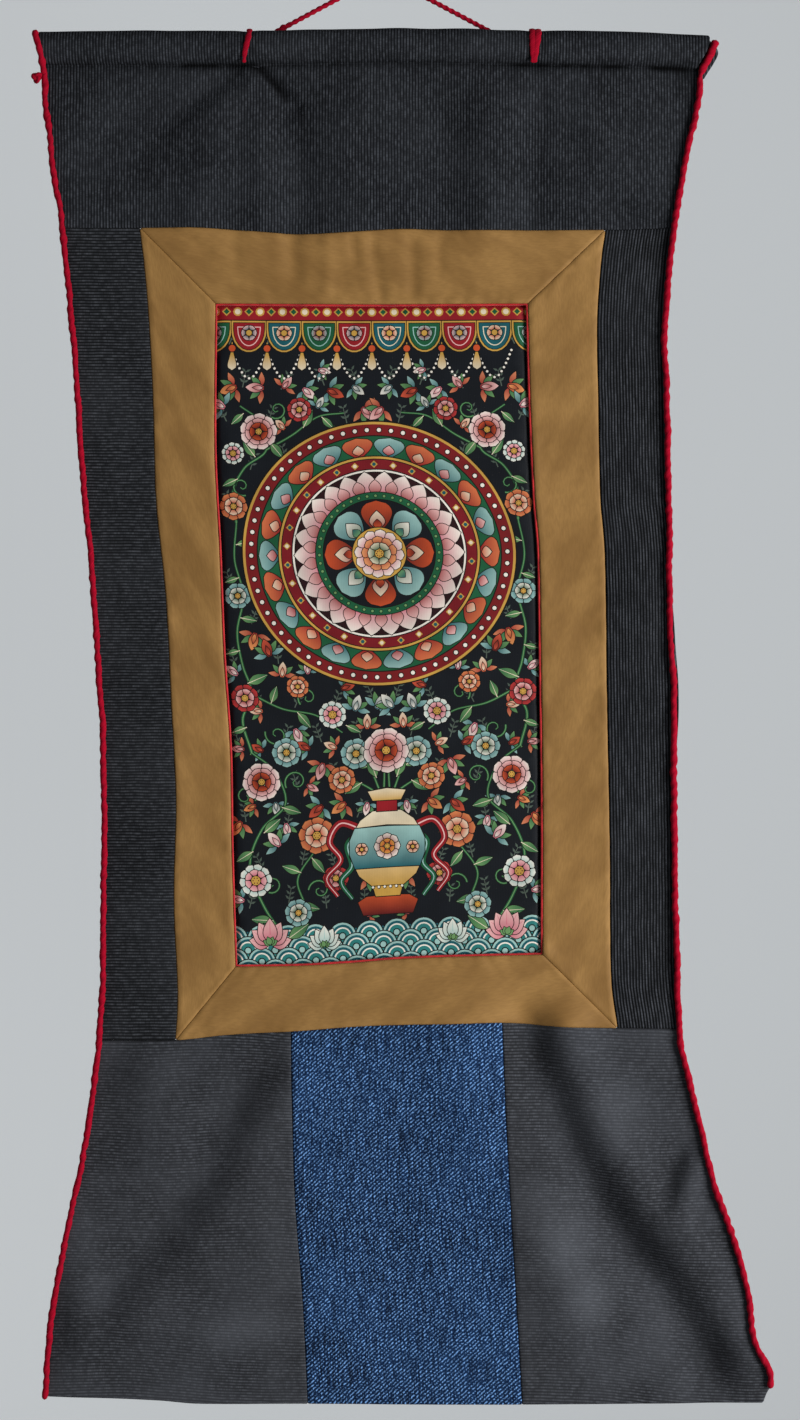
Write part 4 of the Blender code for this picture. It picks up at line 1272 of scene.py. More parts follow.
def side_lotus(at, radius, facing=-math.pi / 2, tip=PALE_PINK, base=PINK):
    """A lotus seen from the side, its petals opening round the way it faces."""
    for offset in (78, -78, 52, -52, 27, -27, 0):
        outline, spine = petal(
            at, facing + math.radians(offset), 0, radius * (1 - 0.0022 * abs(offset)), radius * 0.56, "leaf")
        inked(outline, tip, base, spine, 0.45)
        paint(stroke([spine[0] + (spine[1] - spine[0]) * s for s in (0.35, 0.6, 0.85)], 0.4, 0.6), base)
    for offset in (60, -60, 20, -20):
        outline, _ = petal(at, facing + math.radians(offset), -0.6, radius * 0.36, radius * 0.26, "leaf")
        inked(outline, LEAF, pen=0.35)


def leaf(at, angle, length, colour=GREEN, light=LEAF):
    outline, spine = petal(at, angle, 0, length, length * 0.46, "leaf")
    inked(outline, colour, light, spine, 0.42)
    paint(stroke([spine[0], (spine[0] + spine[1]) / 2, spine[1] * 0.9 + spine[0] * 0.1], 0.45, 0.7), CREAM)


def mirror_from(first):
    """Draws everything since shape number first again on the other side of the middle."""
    def flip(points):
        return np.stack([2 * MIDDLE - points[..., 0], points[..., 1]], axis=-1)

    for outline, colour, base, line in shapes[first:]:
        paint(flip(outline), colour, base, line and tuple(flip(np.asarray(p)) for p in line))


print("drawing tools ready")

# %% [markdown]
# ### Rosette, canopy, vase, scrolls and water
# The parts are drawn from back to front, as a painter lays them: ground and
# sprigs, water, scrolls, canopy, vase and, last, the rosette. The left side is
# drawn once and mirrored, so the picture is balanced, as such designs are.

# %% Ground motifs
WATER_LINE = 344  # in mm below the picture's top
SPRIGS = {"rows": 15, "columns": 4}
SPRAYS = {"rows": 31, "columns": 7, "least_gap": 2.6, "most": 9.5}


def sprigs(seed):
    """Faint grey-green twigs that keep the night ground from being empty."""
    draw = random.Random(seed)
    for row in range(SPRIGS["rows"]):
        for column in range(SPRIGS["columns"]):
            x = 8 + 21 * column + 9 * (row % 2) + draw.uniform(-2, 2)
            y = 22 + 22 * row + draw.uniform(-3, 3)
            lean = draw.uniform(-0.5, 0.5) - math.pi / 2
            tip = np.array([x + 9 * math.cos(lean), y + 9 * math.sin(lean)])
            paint(stroke([(x, y), tip], 0.6, 0.5), "#566257")
            for k in (0.3, 0.6, 0.95):
                for way in (-1, 1):
                    at = np.array([x, y]) * (1 - k) + tip * k
                    out = lean + way * 0.9
                    ends = [at + reach * np.array([math.cos(out + turn), math.sin(out + turn)])
                            for reach, turn in ((0, 0), (1.6, 0.4), (3.2, 0), (1.6, -0.4))]
                    paint(ends, "#4E5C52")


def spray(at, angle, size, tip, base):
    """A bud among fanned leaves, to fill the ground between the larger motifs."""
    outer_leaves = (RED, "#D98A62") if base in (RED, ORANGE) else (TEAL, PALE_TEAL)
    inner_leaves = (GREEN, LEAF)
    for offset, (dark, light) in (
        (1.5, outer_leaves), (-1.5, outer_leaves), (0.8, inner_leaves), (-0.8, inner_leaves),
    ):
        outline, spine = petal(at, angle + offset, 0.5, size * 0.95, size * 0.42, "leaf")
        inked(outline, light, dark, spine, 0.4)
    outline, spine = petal(at, angle, -1.5, size * 1.15, size * 0.62, "lotus")
    inked(outline, tip, base, spine, 0.42)
    outline, spine = petal(at, angle, -1.0, size * 0.7, size * 0.3, "leaf")
    inked(outline, base, tip, spine, 0.35)


def fill_ground(seed):
    """Sprays in the free places of the left half, each as large as its place allows."""
    draw = random.Random(seed)
    taken = np.concatenate([outline for outline, _, _, _ in shapes])
    colours = (
        (PALE_PINK, RED), (WHITE, PINK), ("#E59A5C", RED), (CREAM, ORANGE), ("#D0563C", MAROON),
        (WHITE, TEAL),
    )
    fillings = []
    for row in range(SPRAYS["rows"]):
        for column in range(SPRAYS["columns"]):
            at = np.array([6.0 + 12.6 * column + 6.3 * (row % 2), 36.0 + 10.4 * row])
            at = at + np.array([draw.uniform(-1.2, 1.2), draw.uniform(-1.2, 1.2)])
            near = np.hypot(*(taken - at).T)
            if at[0] > MIDDLE - 3 or near.min() < SPRAYS["least_gap"] or at[1] > WATER_LINE - 4:
                continue
            away = math.atan2(*(at - taken[near < 30].mean(axis=0))[::-1]) if (near < 30).any() else -1.57
            tip, base = draw.choice(colours)
            size = min(SPRAYS["most"], 4.6 + near.min() * 0.9)
            fillings.append((at, away + draw.uniform(-0.5, 0.5), size, tip, base))
    return fillings


print("ground motifs ready")

# %% [markdown]
# ### Water
# Rows of overlapping discs give scale-shaped waves, because each row hides the
# lower half of the one behind it.

# %% Water


def water():
    """Rows of scale-shaped waves along the foot of the picture."""
    band(WATER_LINE, PAINTED[1] + UNDER_PIPING, TEAL)
    rings = (
        (8.0, INK), (7.4, PALE_TEAL), (6.3, TEAL), (4.9, WHITE), (4.1, "#2E7D7A"), (2.2, INK),
        (1.6, PALE_TEAL),
    )
    for row in range(5):
        for k in range(-1, 13):
            at = (k * 15.0 + 7.5 * (row % 2), WATER_LINE + 4 + row * 6.2)
            for radius, colour in rings:
                paint(circle(at, radius, 20 if radius > 4 else 10), colour)


print("water ready")

# %% [markdown]
# ### Scrolls
# Stems wind up the left side, with curls, leaves and flowers where they turn.

# %% Scrolls
FLOWERS = {
    "peony": ((9, 1.0, 0.5, WHITE, PINK), (7, 0.74, 0.32, PALE_PINK, RED), (5, 0.5, 0.16, ORANGE, MAROON)),
    "orange": ((8, 1.0, 0.42, "#DE8A55", RED), (6, 0.66, 0.2, CREAM, ORANGE)),
    "teal": ((8, 1.0, 0.42, PALE_TEAL, TEAL), (6, 0.66, 0.2, WHITE, GREEN)),
    "white": ((10, 1.0, 0.5, WHITE, PALE_TEAL), (7, 0.68, 0.25, PALE_PINK, PINK)),
    "red": ((8, 1.0, 0.45, "#C23B3A", MAROON), (6, 0.68, 0.22, PALE_PINK, RED)),
}


def side_scrolls():
    """Lotus stems that wind up the left side, with their flowers and leaves."""
    stem([(30, 350), (17, 330), (10, 308), (17, 288), (30, 274), (24, 256), (12, 246)], 1.8)
    stem([(30, 350), (40, 334), (36, 316), (46, 300)], 1.6)
    stem([(12, 246), (8, 228), (14, 214), (10, 198), (8, 180), (12, 160), (8, 140), (10, 120)], 1.7)
    stem([(10, 120), (9, 104), (16, 90), (28, 80), (24, 64), (14, 56)], 1.6)
    stem([(28, 80), (42, 72), (56, 62), (70, 60)], 1.4)
    stem([(14, 214), (30, 222), (48, 226), (62, 236)], 1.4)
    for at, radius, start, turns, way in (
        ((36, 262), 6.5, 2.6, 1.2, 1), ((8, 270), 6.0, 0.4, 1.2, -1), ((48, 322), 6.2, 3.2, 1.2, 1),
        ((26, 236), 6.4, 3.4, 1.2, -1), ((62, 72), 5.6, 4.6, 1.2, 1), ((34, 58), 5.2, 2.2, 1.2, -1),
        ((44, 216), 5.6, 2.4, 1.2, 1), ((14, 100), 5.4, 1.2, 1.2, 1), ((22, 318), 5.0, 2.0, 1.2, -1),
    ):
        stem(curl(at, radius, start, turns, way), 1.2)
    for at, angle, length in (
        ((12, 300), 2.6, 12), ((18, 290), -0.7, 13), ((28, 276), 0.3, 12), ((26, 262), 2.9, 12),
        ((36, 330), 0.2, 13), ((38, 312), 3.5, 12), ((44, 304), 0.9, 12), ((22, 338), 3.2, 13),
        ((10, 232), 2.8, 10), ((12, 208), -0.4, 13), ((9, 190), 2.9, 9), ((10, 172), 0.2, 10),
        ((10, 150), 2.8, 9), ((9, 132), -0.2, 10), ((12, 96), 2.7, 10), ((22, 84), -2.2, 12),
        ((30, 76), 0.9, 12), ((48, 68), -1.1, 12), ((58, 62), 0.8, 10), ((38, 224), 0.9, 12),
        ((52, 230), -0.9, 11), ((24, 219), -1.2, 11), ((16, 60), 2.4, 10), ((64, 232), 0.5, 10),
        ((30, 348), -0.6, 15), ((28, 348), -2.5, 15),
    ):
        leaf(at, angle, length)
    for at, radius, kind, turn in (
        ((17, 262), 11.0, "peony", 0.2), ((47, 292), 10.5, "orange", 0.1), ((13, 316), 9.5, "white", 0.5),
        ((31, 246), 8.5, "teal", 0.0), ((10, 216), 8.0, "red", 0.3), ((9, 160), 7.5, "teal", 0.4),
        ((9, 111), 8.0, "orange", 0.1), ((24, 70), 10.5, "peony", 0.6), ((54, 80), 6.5, "white", 0.1),
        ((46, 58), 7.0, "red", 0.2), ((10, 82), 6.5, "white", 0.2), ((57, 226), 8.0, "white", 0.3),
        ((39, 210), 6.5, "orange", 0.5), ((57, 316), 7.5, "red", 0.1), ((36, 334), 8.0, "teal", 0.2),
    ):
        blossom(at, radius, FLOWERS[kind], turn)
    side_lotus((20, 351), 15)
    side_lotus((50, 353), 12, tip=WHITE, base=PALE_TEAL)


print("kinds of flower:", ", ".join(FLOWERS))

# %% [markdown]
# ### Canopy
# A band of brocade with scallops below it, and strings of pearls that hang in
# loops between tassels.

# %% Canopy


def canopy():
    """A brocade valance across the top, with tassels and looped strings of pearls."""
    band(-UNDER_PIPING, 9.5, INK)
    band(-UNDER_PIPING, 8.9, RED)
    for k in range(29):
        at = (k * 6.1 + 0.2, 4.4)
        paint(circle(at, 2.5, 4 if k % 2 else 10), GOLD)
        paint(circle(at, 1.6, 4 if k % 2 else 8), GREEN if k % 2 else CREAM)
    for x in np.linspace(19, 152, 8):
        swag = [(x - 9.5 + 19 * t, 26 + 15 * math.sin(math.pi * t)) for t in np.linspace(0, 1, 9)]
        pearls(swag, 1.0, 2.5)
        inked(petal((x - 9.5, 20), math.pi / 2, 0, 17, 5.6, "drop")[0], CREAM, GOLD, ((x, 28), (x, 37)))
        inked(circle((x - 9.5, 24.5), 2.4, 10), ORANGE)
    for k, x in enumerate(np.linspace(-0.5, 171.5, 10)):
        sides = np.linspace(0, math.pi, 12)
        bowl = np.stack([x + 10 * np.cos(sides), 14 + 13 * np.sin(sides)], axis=1)
        scallop = np.concatenate([[(x + 10, 9)], bowl, [(x - 10, 9)]])
        outer, inner, mark = ((GREEN, PALE_TEAL, RED), (RED, PALE_PINK, TEAL), (TEAL, CREAM, ORANGE))[k % 3]
        inked(scallop, GOLD, pen=0.45)
        paint(shrunk(scallop, 1.3), INK)
        paint(shrunk(scallop, 1.7), outer)
        paint(shrunk(scallop, 3.6), inner)
        paint(shrunk(scallop, 4.1), outer)
        blossom((x, 16), 4.6, ((6, 1.0, 0.35, inner, mark),), 0.0, 0)


print("canopy ready")

# %% [markdown]
# ### Vase
# The vase is drawn as half profiles that are mirrored, as on a potter's board.

# %% Vase


def vase():
    """A round-bellied vase of flowers on a small stand, with ribbons."""
    def half(points, colour, base=None):
        right = np.array([(MIDDLE + x, y) for x, y in points])
        left = np.array([(MIDDLE - x, y) for x, y in reversed(points)])
        shaded = base and ((MIDDLE, points[-1][1]), (MIDDLE, points[0][1]))
        inked(np.concatenate([right, left]), colour, base, shaded)

    first = len(shapes)
    for line, colour in (
        ([(72, 290), (60, 286), (54, 296), (60, 306), (52, 316), (58, 326)], RED),
        ([(72, 292), (64, 298), (66, 310), (60, 318), (66, 328)], GREEN),
    ):
        paint(stroke(line, 5.2, 0.45), INK)
        paint(stroke(line, 4.2, 0.5), colour)
        paint(stroke(line, 0.8, 0.5), PALE_PINK if colour == RED else PALE_TEAL)
    mirror_from(first)
    first = len(shapes)
    stems = (
        [(82, 270), (76, 256), (66, 246)], [(84, 270), (84, 254), (80, 240)],
        [(80, 270), (70, 264), (60, 262)],
    )
    for points in stems:
        stem(points, 1.4)
    for at, angle, length in (
        ((76, 256), 3.6, 12), ((82, 250), -2.4, 12), ((72, 264), 2.6, 12), ((66, 262), -2.6, 10),
        ((80, 262), -1.9, 14),
    ):
        leaf(at, angle, length)
    mirror_from(first)
    for x, y, radius, kind in (
        (61, 262, 8.0, "orange"), (110, 262, 8.0, "orange"), (69, 248, 9.0, "teal"), (102, 248, 9.0, "teal"),
    ):
        blossom((x, y), radius, FLOWERS[kind], 0.2)
    blossom((MIDDLE, 247), 13.0, FLOWERS["peony"], 0.1)
    half([(14, 338), (17, 330), (12, 327), (0, 326)], MAROON, ORANGE)
    half([(7, 328), (9, 321), (0, 320)], GOLD)
    half([(9, 322), (16, 316), (21, 305), (21, 295), (15, 285), (8, 280), (0, 279)], GOLD, CREAM)
    half([(18.2, 312), (21, 304), (21, 296), (18, 289), (0, 288)], TEAL, PALE_TEAL)
    half([(6, 281), (6, 273), (0, 272)], RED)
    half([(8, 275), (11, 269), (0, 267)], GOLD, CREAM)
    blossom((MIDDLE, 300), 7.6, ((8, 1.0, 0.35, WHITE, RED), (6, 0.6, 0.2, GOLD, ORANGE)), 0.0)
    for x in (-14, 14):
        blossom((MIDDLE + x, 301), 3.8, ((6, 1.0, 0.3, CREAM, ORANGE),), 0.0, 0)
    pearls([(MIDDLE - 8, 322.5), (MIDDLE + 8, 322.5)], 1.0, 2.6)


print("vase ready")

# %% [markdown]
# ### Rosette
# The rosette is drawn from its rim inwards: discs, rings of petals and beads.

# %% Rosette


def rosette(at, size):
    """The round rosette, ring inside ring."""
    def discs(*rims):
        for radius, colour in rims:
            paint(circle(at, radius * size, 96 if radius > 30 else 48), colour)

    def ring(count, start, end, kind, tip, base, share=0.95, turn=0.0, pen=0.45):
        for k in range(count):
            angle = 2 * math.pi * (k + turn) / count
            width = 2 * math.pi * (start + end) / 2 * size / count * share
            outline, spine = petal(at, angle, start * size, (end - start) * size, width, kind)
            pick = k % len(tip)
            inked(outline, tip[pick], base[pick], spine, pen)

    def beads(count, radius, bead, colour):
        for k in range(count):
            angle = 2 * math.pi * k / count
            place = np.array(at) + radius * size * np.array([math.cos(angle), math.sin(angle)])
            paint(circle(place, bead * 1.45, 9), INK)
            paint(circle(place, bead, 8), colour)

    discs((76.0, INK), (75.2, GOLD), (73.8, "#7A1D20"))
    beads(66, 70.6, 1.15, WHITE)
    discs((67.6, INK), (67.0, GREEN))
    ring(22, 55.5, 66.8, "round", ("#D8764A", PALE_TEAL), (RED, TEAL), 1.02)
    ring(22, 56.0, 62.5, "leaf", (CREAM, PALE_PINK), (ORANGE, RED), 0.42)
    discs((56.0, INK), (55.4, GOLD), (54.2, INK), (53.7, "#7A1A22"))
    for k in range(30):
        angle = 2 * math.pi * (k + 0.5) / 30
        place = np.array(at) + 51.0 * size * np.array([math.cos(angle), math.sin(angle)])
        paint(circle(place, 2.0, 4), GOLD)
        paint(circle(place, 1.1, 6), CREAM if k % 2 else TEAL)
    discs((48.4, INK), (47.8, WHITE), (46.8, INK), (46.3, "#2A1216"))
    ring(26, 33.5, 47.5, "lotus", (WHITE,), (PINK,), 1.2)
    ring(26, 33.5, 42.5, "lotus", (PALE_PINK,), (RED,), 0.8, 0.5, 0.4)
    discs((35.4, INK), (34.9, GREEN))
    beads(44, 33.0, 0.75, LEAF)
    discs((31.2, INK), (30.7, NIGHT))
    ring(8, 13.0, 30.6, "round", (ORANGE, PALE_TEAL), (MAROON, TEAL), 1.05)
    ring(8, 13.5, 25.0, "leaf", (CREAM, WHITE), (RED, GREEN), 0.62)
    ring(8, 14.0, 20.0, "leaf", (MAROON, TEAL), (ORANGE, LEAF), 0.4, 0.0, 0.35)
    discs((15.4, INK), (14.8, GOLD))
    heart = ((12, 1.0, 0.5, WHITE, PINK), (9, 0.72, 0.3, "#E9A06A", RED), (6, 0.48, 0.16, CREAM, GREEN))
    blossom(at, 14.2 * size, heart, 0.1, 8)


print("rosette ready")

# %% [markdown]
# ### The whole picture
# The free places are filled last but lie below the motifs, so the list of
# shapes is put together again in that order.

# %% Draw the picture
water()
first = len(shapes)
side_scrolls()
mirror_from(first)
canopy()
vase()
rosette((MIDDLE, 138.0), 0.97)
motifs, shapes = shapes, list(shapes)
fillings = fill_ground(5)
shapes = []
sprigs(11)
for filling in fillings:
    spray(*filling)
mirror_from(0)
shapes += motifs
print("painted shapes:", len(shapes), "outline points:", sum(len(s[0]) for s in shapes))

# %% [markdown]
# ### From shapes to a painted cloth
# Every outline becomes an edge of one flat mesh, and every small face takes
# the colour of the topmost shape over its middle. That gives crisp brush lines
# on real cloth without a picture file. Then the flat mesh is laid into the
# opening, a little behind the frame, and dips under the piping at its edge.

# %% Canvas with its painting
CANVAS_THICK = 0.7 * MM
CANVAS_BACK = (1.3 * MM, 3.4 * MM)  # how far behind the frame's cloth: in the middle, at the edge


def opening_place(u, v):
    return patch(
        side_of(OPENING_LEFT, OPENING_LEFT[0][0], OPENING_LEFT[-1][0]),
        side_of(OPENING_RIGHT, OPENING_RIGHT[0][0], OPENING_RIGHT[-1][0]),
        across(OPENING_TOP, OPENING_TOP[0][0], OPENING_TOP[-1][0]),
        across(OPENING_BOTTOM, OPENING_BOTTOM[0][0], OPENING_BOTTOM[-1][0]),
        np.asarray(u, float), np.asarray(v, float),
    )


def inside(points, outline):
    """Which points lie inside an outline, counted by how often it winds round them."""
    x, y = points[:, 0][:, None], points[:, 1][:, None]
    (ax, ay), (bx, by) = outline.T, np.roll(outline, -1, axis=0).T
    left_of = (bx - ax) * (y - ay) - (x - ax) * (by - ay) > 0
    winding = ((ay <= y) & (by > y) & left_of).sum(1) - ((by <= y) & (ay > y) & ~left_of).sum(1)
    return winding != 0


def seen_edges(corners, edges, starts):
    """The edges that no later shape covers, so that hidden brush lines cost no faces."""
    ends = corners[edges]
    keep = np.ones(len(edges), bool)
    for number, (outline, _, _, _) in enumerate(shapes):
        before = slice(0, starts[number])
        low, high = outline.min(0), outline.max(0)
        covered = keep[before] & ((ends[before] > low) & (ends[before] < high)).all(axis=(1, 2))
        some = np.flatnonzero(covered)
        for share in (0.0, 0.5, 1.0):
            some = some[inside(ends[some, 0] * (1 - share) + ends[some, 1] * share, outline)]
        keep[some] = False
    return edges[keep]


def canvas_lines(length):
    """Places across the canvas, closer together where it bends at the opening's edge."""
    bend = np.array([-UNDER_PIPING, -3.5, 0.1, 0.8, 1.5, 2.2, 3.0, 4.0])
    middle = np.linspace(4.0, length - 4.0, round((length - 8.0) / 5.0) + 1)[1:-1]
    return np.concatenate([bend, middle, length - bend[::-1]])


def divided(outline, longest=5.0):
    """An outline with its long edges divided, so that it can follow the folds of the cloth."""
    ends = np.roll(outline, -1, axis=0)
    parts = np.maximum(1, np.ceil(np.linalg.norm(ends - outline, axis=1) / longest)).astype(int)
    return np.concatenate([a + (b - a) * np.arange(n)[:, None] / n for a, b, n in zip(outline, ends, parts)])


def flat_mesh():
    """Triangles of the whole canvas that no outline crosses, in mm."""
    low, high = (-UNDER_PIPING,) * 2, (PAINTED[0] + UNDER_PIPING, PAINTED[1] + UNDER_PIPING)
    outlines = [divided(np.clip(outline, low, high)) for outline, _, _, _ in shapes]
    starts = np.cumsum([0] + [len(outline) for outline in outlines])
    corners = np.concatenate(outlines)
    edges = np.concatenate([
        start + np.stack([np.arange(end - start), (np.arange(end - start) + 1) % (end - start)], axis=1)
        for start, end in zip(starts, starts[1:])
    ])
    edges = seen_edges(corners, edges, starts)
    used, edges = np.unique(edges, return_inverse=True)
    edges = edges.reshape(-1, 2)
    filling = [(x, y) for x in canvas_lines(PAINTED[0]) for y in canvas_lines(PAINTED[1])]
    corners = [Vector(p) for p in corners[used]] + [Vector(p) for p in filling]
    found = delaunay_2d_cdt(corners, edges.tolist(), [], 0, 0.004, False)
    print("seen outline points:", len(used), "triangles:", len(found[2]))
    return np.array([tuple(v) for v in found[0]]), np.array([tuple(f) for f in found[2] if len(f) == 3])


def shape_colours(points, faces):
    """The colour of each corner of each face, from the topmost shape over the face."""
    middles = points[faces].mean(axis=1)
    colours = np.empty((len(faces), 3, 3))
    colours[:] = linear(NIGHT)[:3]
    for outline, colour, base, line in shapes:
        near = np.flatnonzero(((middles >= outline.min(0)) & (middles <= outline.max(0))).all(1))
        near = near[inside(middles[near], outline)]
        if base is None:
            colours[near] = linear(colour)[:3]
            continue
        start, end = np.asarray(line[0], float), np.asarray(line[1], float)
        share = np.clip((points[faces[near]] - start) @ (end - start) / ((end - start) @ (end - start)), 0, 1)
        dark, pale = np.array(linear(base)[:3]), np.array(linear(colour)[:3])
        colours[near] = dark + (pale - dark) * share[..., None]
    return colours


print("canvas lies", [round(v / MM, 2) for v in CANVAS_BACK], "mm behind the frame")

# %% [markdown]
# ### Paint and raw canvas
# Distemper is a matt glue paint. It soaks in, so the weave shows through, and
# it rubs off the tops of the threads first. The back is bare cotton.

# %% Canvas materials


CANVAS_THREAD = 0.9 * MM  # 0.4 on the real canvas, which is too fine to show here


def painted_cotton():
    """Distemper on cotton: matt colour, a weave that shows through, and light wear."""
    made, tree, surface = new_material("distemper_paint_on_cotton", 0.6, 0.15)
    lay = add(tree, "lay")
    over, along, _ = add(tree, "parts", lay)
    slow = add(tree, "ramp", add(tree, "noise", lay, 60.0, 5.0), 0.3, 0.72, 0.84, 1.12)
    brushed = add(tree, "brighten", add(tree, "picture"), slow)
    grain = add(tree, "noise", lay, 1400.0, 2.0)
    rubbed = add(tree, "ramp", grain, 0.66, 0.82, 0.0, 0.16)
    tree.links.new(add(tree, "blend", rubbed, brushed, "#8C8375"), surface["Base Color"])
    wave = 2 * math.pi / CANVAS_THREAD
    threads = [chain(tree, way, ("MULTIPLY", wave), ("SINE", 0.0)) for way in (over, along)]
    height = chain(tree, threads[0], ("ADD", threads[1]), ("MULTIPLY", 0.2), ("ADD", grain))
    tree.links.new(add(tree, "bump", height, 0.25, 0.1 * MM), surface["Normal"])
    return made


def raw_canvas():
    """The unpainted back of the canvas."""
    made, tree, surface = new_material("raw_primed_cotton", 0.9, 0.2)
    slow = add(tree, "ramp", add(tree, "noise", add(tree, "lay"), 22.0, 5.0), 0.3, 0.75)
    tree.links.new(add(tree, "blend", slow, "#B9A98B", "#8F7F64"), surface["Base Color"])
    return made


print("threads every", CANVAS_THREAD / MM, "mm")

# %% [markdown]
# ### Laying the canvas in
# The painted front and the plain back meet at the rim. Both use the same lines
# across the cloth, so that neither shows through the other where it bends.

# %% Lay the canvas in


def laid_in(points, behind):
    """Places of the flat canvas in the opening, a distance behind its middle surface."""
    place = opening_place(points[:, 0] / PAINTED[0], points[:, 1] / PAINTED[1])
    within = np.minimum(points, np.array(PAINTED) - points).min(axis=1)
    back = CANVAS_BACK[1] + (CANVAS_BACK[0] - CANVAS_BACK[1]) * soft_step(0.2, 4.0, within)
    x, drop = place[:, 0], place[:, 1]
    return np.stack([x, fine_y(x, drop) + back + behind, -drop], axis=1)


def painted_canvas():
    points, faces = flat_mesh()
    colours = shape_colours(points, faces)
    a, b, c = points[faces].transpose(1, 0, 2)
    turned = (b[:, 0] - a[:, 0]) * (c[:, 1] - a[:, 1]) - (b[:, 1] - a[:, 1]) * (c[:, 0] - a[:, 0]) > 0
    faces = np.where(turned[:, None], faces[:, ::-1], faces)
    colours = np.where(turned[:, None, None], colours[:, ::-1], colours)
    back_x, back_y = np.meshgrid(canvas_lines(PAINTED[0]), canvas_lines(PAINTED[1]))
    back_points = np.stack([back_x.ravel(), back_y.ravel()], axis=1)
    rim = np.minimum(back_points, np.array(PAINTED) - back_points).min(axis=1) < 0.01 - UNDER_PIPING
    behind = np.where(rim, -CANVAS_THICK / 2, CANVAS_THICK / 2)
    verts = np.concatenate([laid_in(points, -CANVAS_THICK / 2), laid_in(back_points, behind)])
    back_faces = np.array(grid_faces(*back_x.shape))[:, ::-1] + len(points)
    lay = np.concatenate([points, back_points]) * MM
    lay = np.stack([lay[:, 0], -lay[:, 1], np.zeros(len(lay))], axis=1)
    both_faces = faces.tolist() + back_faces.tolist()
    piece = mesh_piece("painted_canvas_distemper", verts, both_faces, lay, painted_cotton())
    piece.data.materials.append(raw_canvas())
    piece.data.polygons.foreach_set("material_index", [0] * len(faces) + [1] * len(back_faces))
    picture = piece.data.color_attributes.new("picture", "FLOAT_COLOR", "CORNER")
    rgba = np.ones((len(faces) * 3 + len(back_faces) * 4, 4))
    rgba[:len(faces) * 3, :3] = colours.reshape(-1, 3)
    picture.data.foreach_set("color", np.ascontiguousarray(rgba, dtype=np.float32).ravel())
    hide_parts("painted_canvas")


painted_canvas()

# %% [markdown]
# ## Red piping
# A narrow strip of red cotton, folded in two and caught in the seam between
# the frame and the canvas, so that only its fold shows. The mesh is that
# folded strip, in section, carried round the opening.

# %% Piping

# The strip in section, from one cut edge round the fold to the other: (mm inside the opening, mm back)
PIPING_SECTION = (
    (-6.0, 1.98), (-3.0, 1.98), (-0.4, 1.98), (0.15, 1.35), (0.2, 0.6), (0.35, 0.05), (0.65, -0.15),
    (0.95, 0.0), (1.12, 0.45), (1.08, 1.05), (0.8, 1.85), (0.1, 2.35), (-3.0, 2.42), (-6.0, 2.42),
)
PIPING_THICK = 0.3 * MM


PIPING_LENGTH = 1.10  # of the strip: once round the opening, and an overlap
PIPING_POINTS = (60, 124)  # points of the mesh along a short side and a long side
PIPING_ROUND = (1.06, 0.017)  # how far its pattern runs along it and over it


def red_cotton():
    made, tree, surface = new_material("crimson_piping_cotton", 0.7, 0.3, 0.2)
    slow = add(tree, "ramp", add(tree, "noise", add(tree, "lay"), 160.0, 4.0), 0.3, 0.7)
    tree.links.new(add(tree, "blend", slow, "#A3101A", "#D02529"), surface["Base Color"])
    return made


def piping():
    short, tall = PIPING_POINTS
    ring = [(i / short, 0.0) for i in range(short)] + [(1.0, j / tall) for j in range(tall)]
    ring += [(1 - u, 1 - v) for u, v in ring]
    ring = np.array(ring)
    section = np.array(PIPING_SECTION)
    shape = []
    wave = unevenness(ring[:, 0] * PAINTED[0] * MM, ring[:, 1] * PAINTED[1] * MM, 0.012, 0.00035)
    for inset, back in section:
        u = (inset + (PAINTED[0] - 2 * inset) * ring[:, 0]) / PAINTED[0]
        v = (inset + (PAINTED[1] - 2 * inset) * ring[:, 1]) / PAINTED[1]
        place = opening_place(u, v)
        x, drop = place[:, 0], place[:, 1]
        shape.append(np.stack([x, fine_y(x, drop) + back * MM + wave * (inset > 0.4), -drop], axis=1))
    verts = np.array(shape)
    rows, columns = verts.shape[:2]
    along, over = (np.linspace(0, far, count) for far, count in zip(PIPING_ROUND, (columns, rows)))
    along, over = np.meshgrid(along, over)
    lay = np.stack([along.ravel(), over.ravel(), np.zeros(rows * columns)], axis=1)
    faces = grid_faces(rows, columns, closed=True)
    piece = mesh_piece("folded_red_piping", verts.reshape(-1, 3), faces, lay, red_cotton())
    strip = float(np.hypot(*np.diff(section, axis=0).T).sum()) * MM
    hung_sheet(piece, "painting_piping", PIPING_LENGTH, strip, PIPING_THICK)


piping()

# %% [markdown]
# ## Edge yarns
# A yarn is couched down each side, at the very edge of the cloth. The left one
# runs up over the sleeve; the right one turns in at the sleeve's open mouth. A
# hand-laid yarn is never straight, so its line wanders by about half a
# millimetre, and loose fibres stand off it.

# %% Edge yarns and their knot
EDGE_YARN = 0.0036  # with its fluff, a little thicker than the solid that stands for it
EDGE_TWIST = 0.0125
STAND_OFF = THICK / 2 + EDGE_YARN / 2 + 0.0001
LEFT_YARN_TOP = (-0.0162, 0.0318)
# Where the right yarn runs up inside the sleeve's mouth: (x, y, drop)
MOUTH_RUN = (
    (0.1766, -0.0072, 0.0495), (0.1784, -0.0056, 0.0465), (0.1801, -0.0048, 0.0430),
    (0.1815, -0.0051, 0.0395), (0.1827, -0.0060, 0.0368), (0.1832, -0.0068, 0.0355),
)
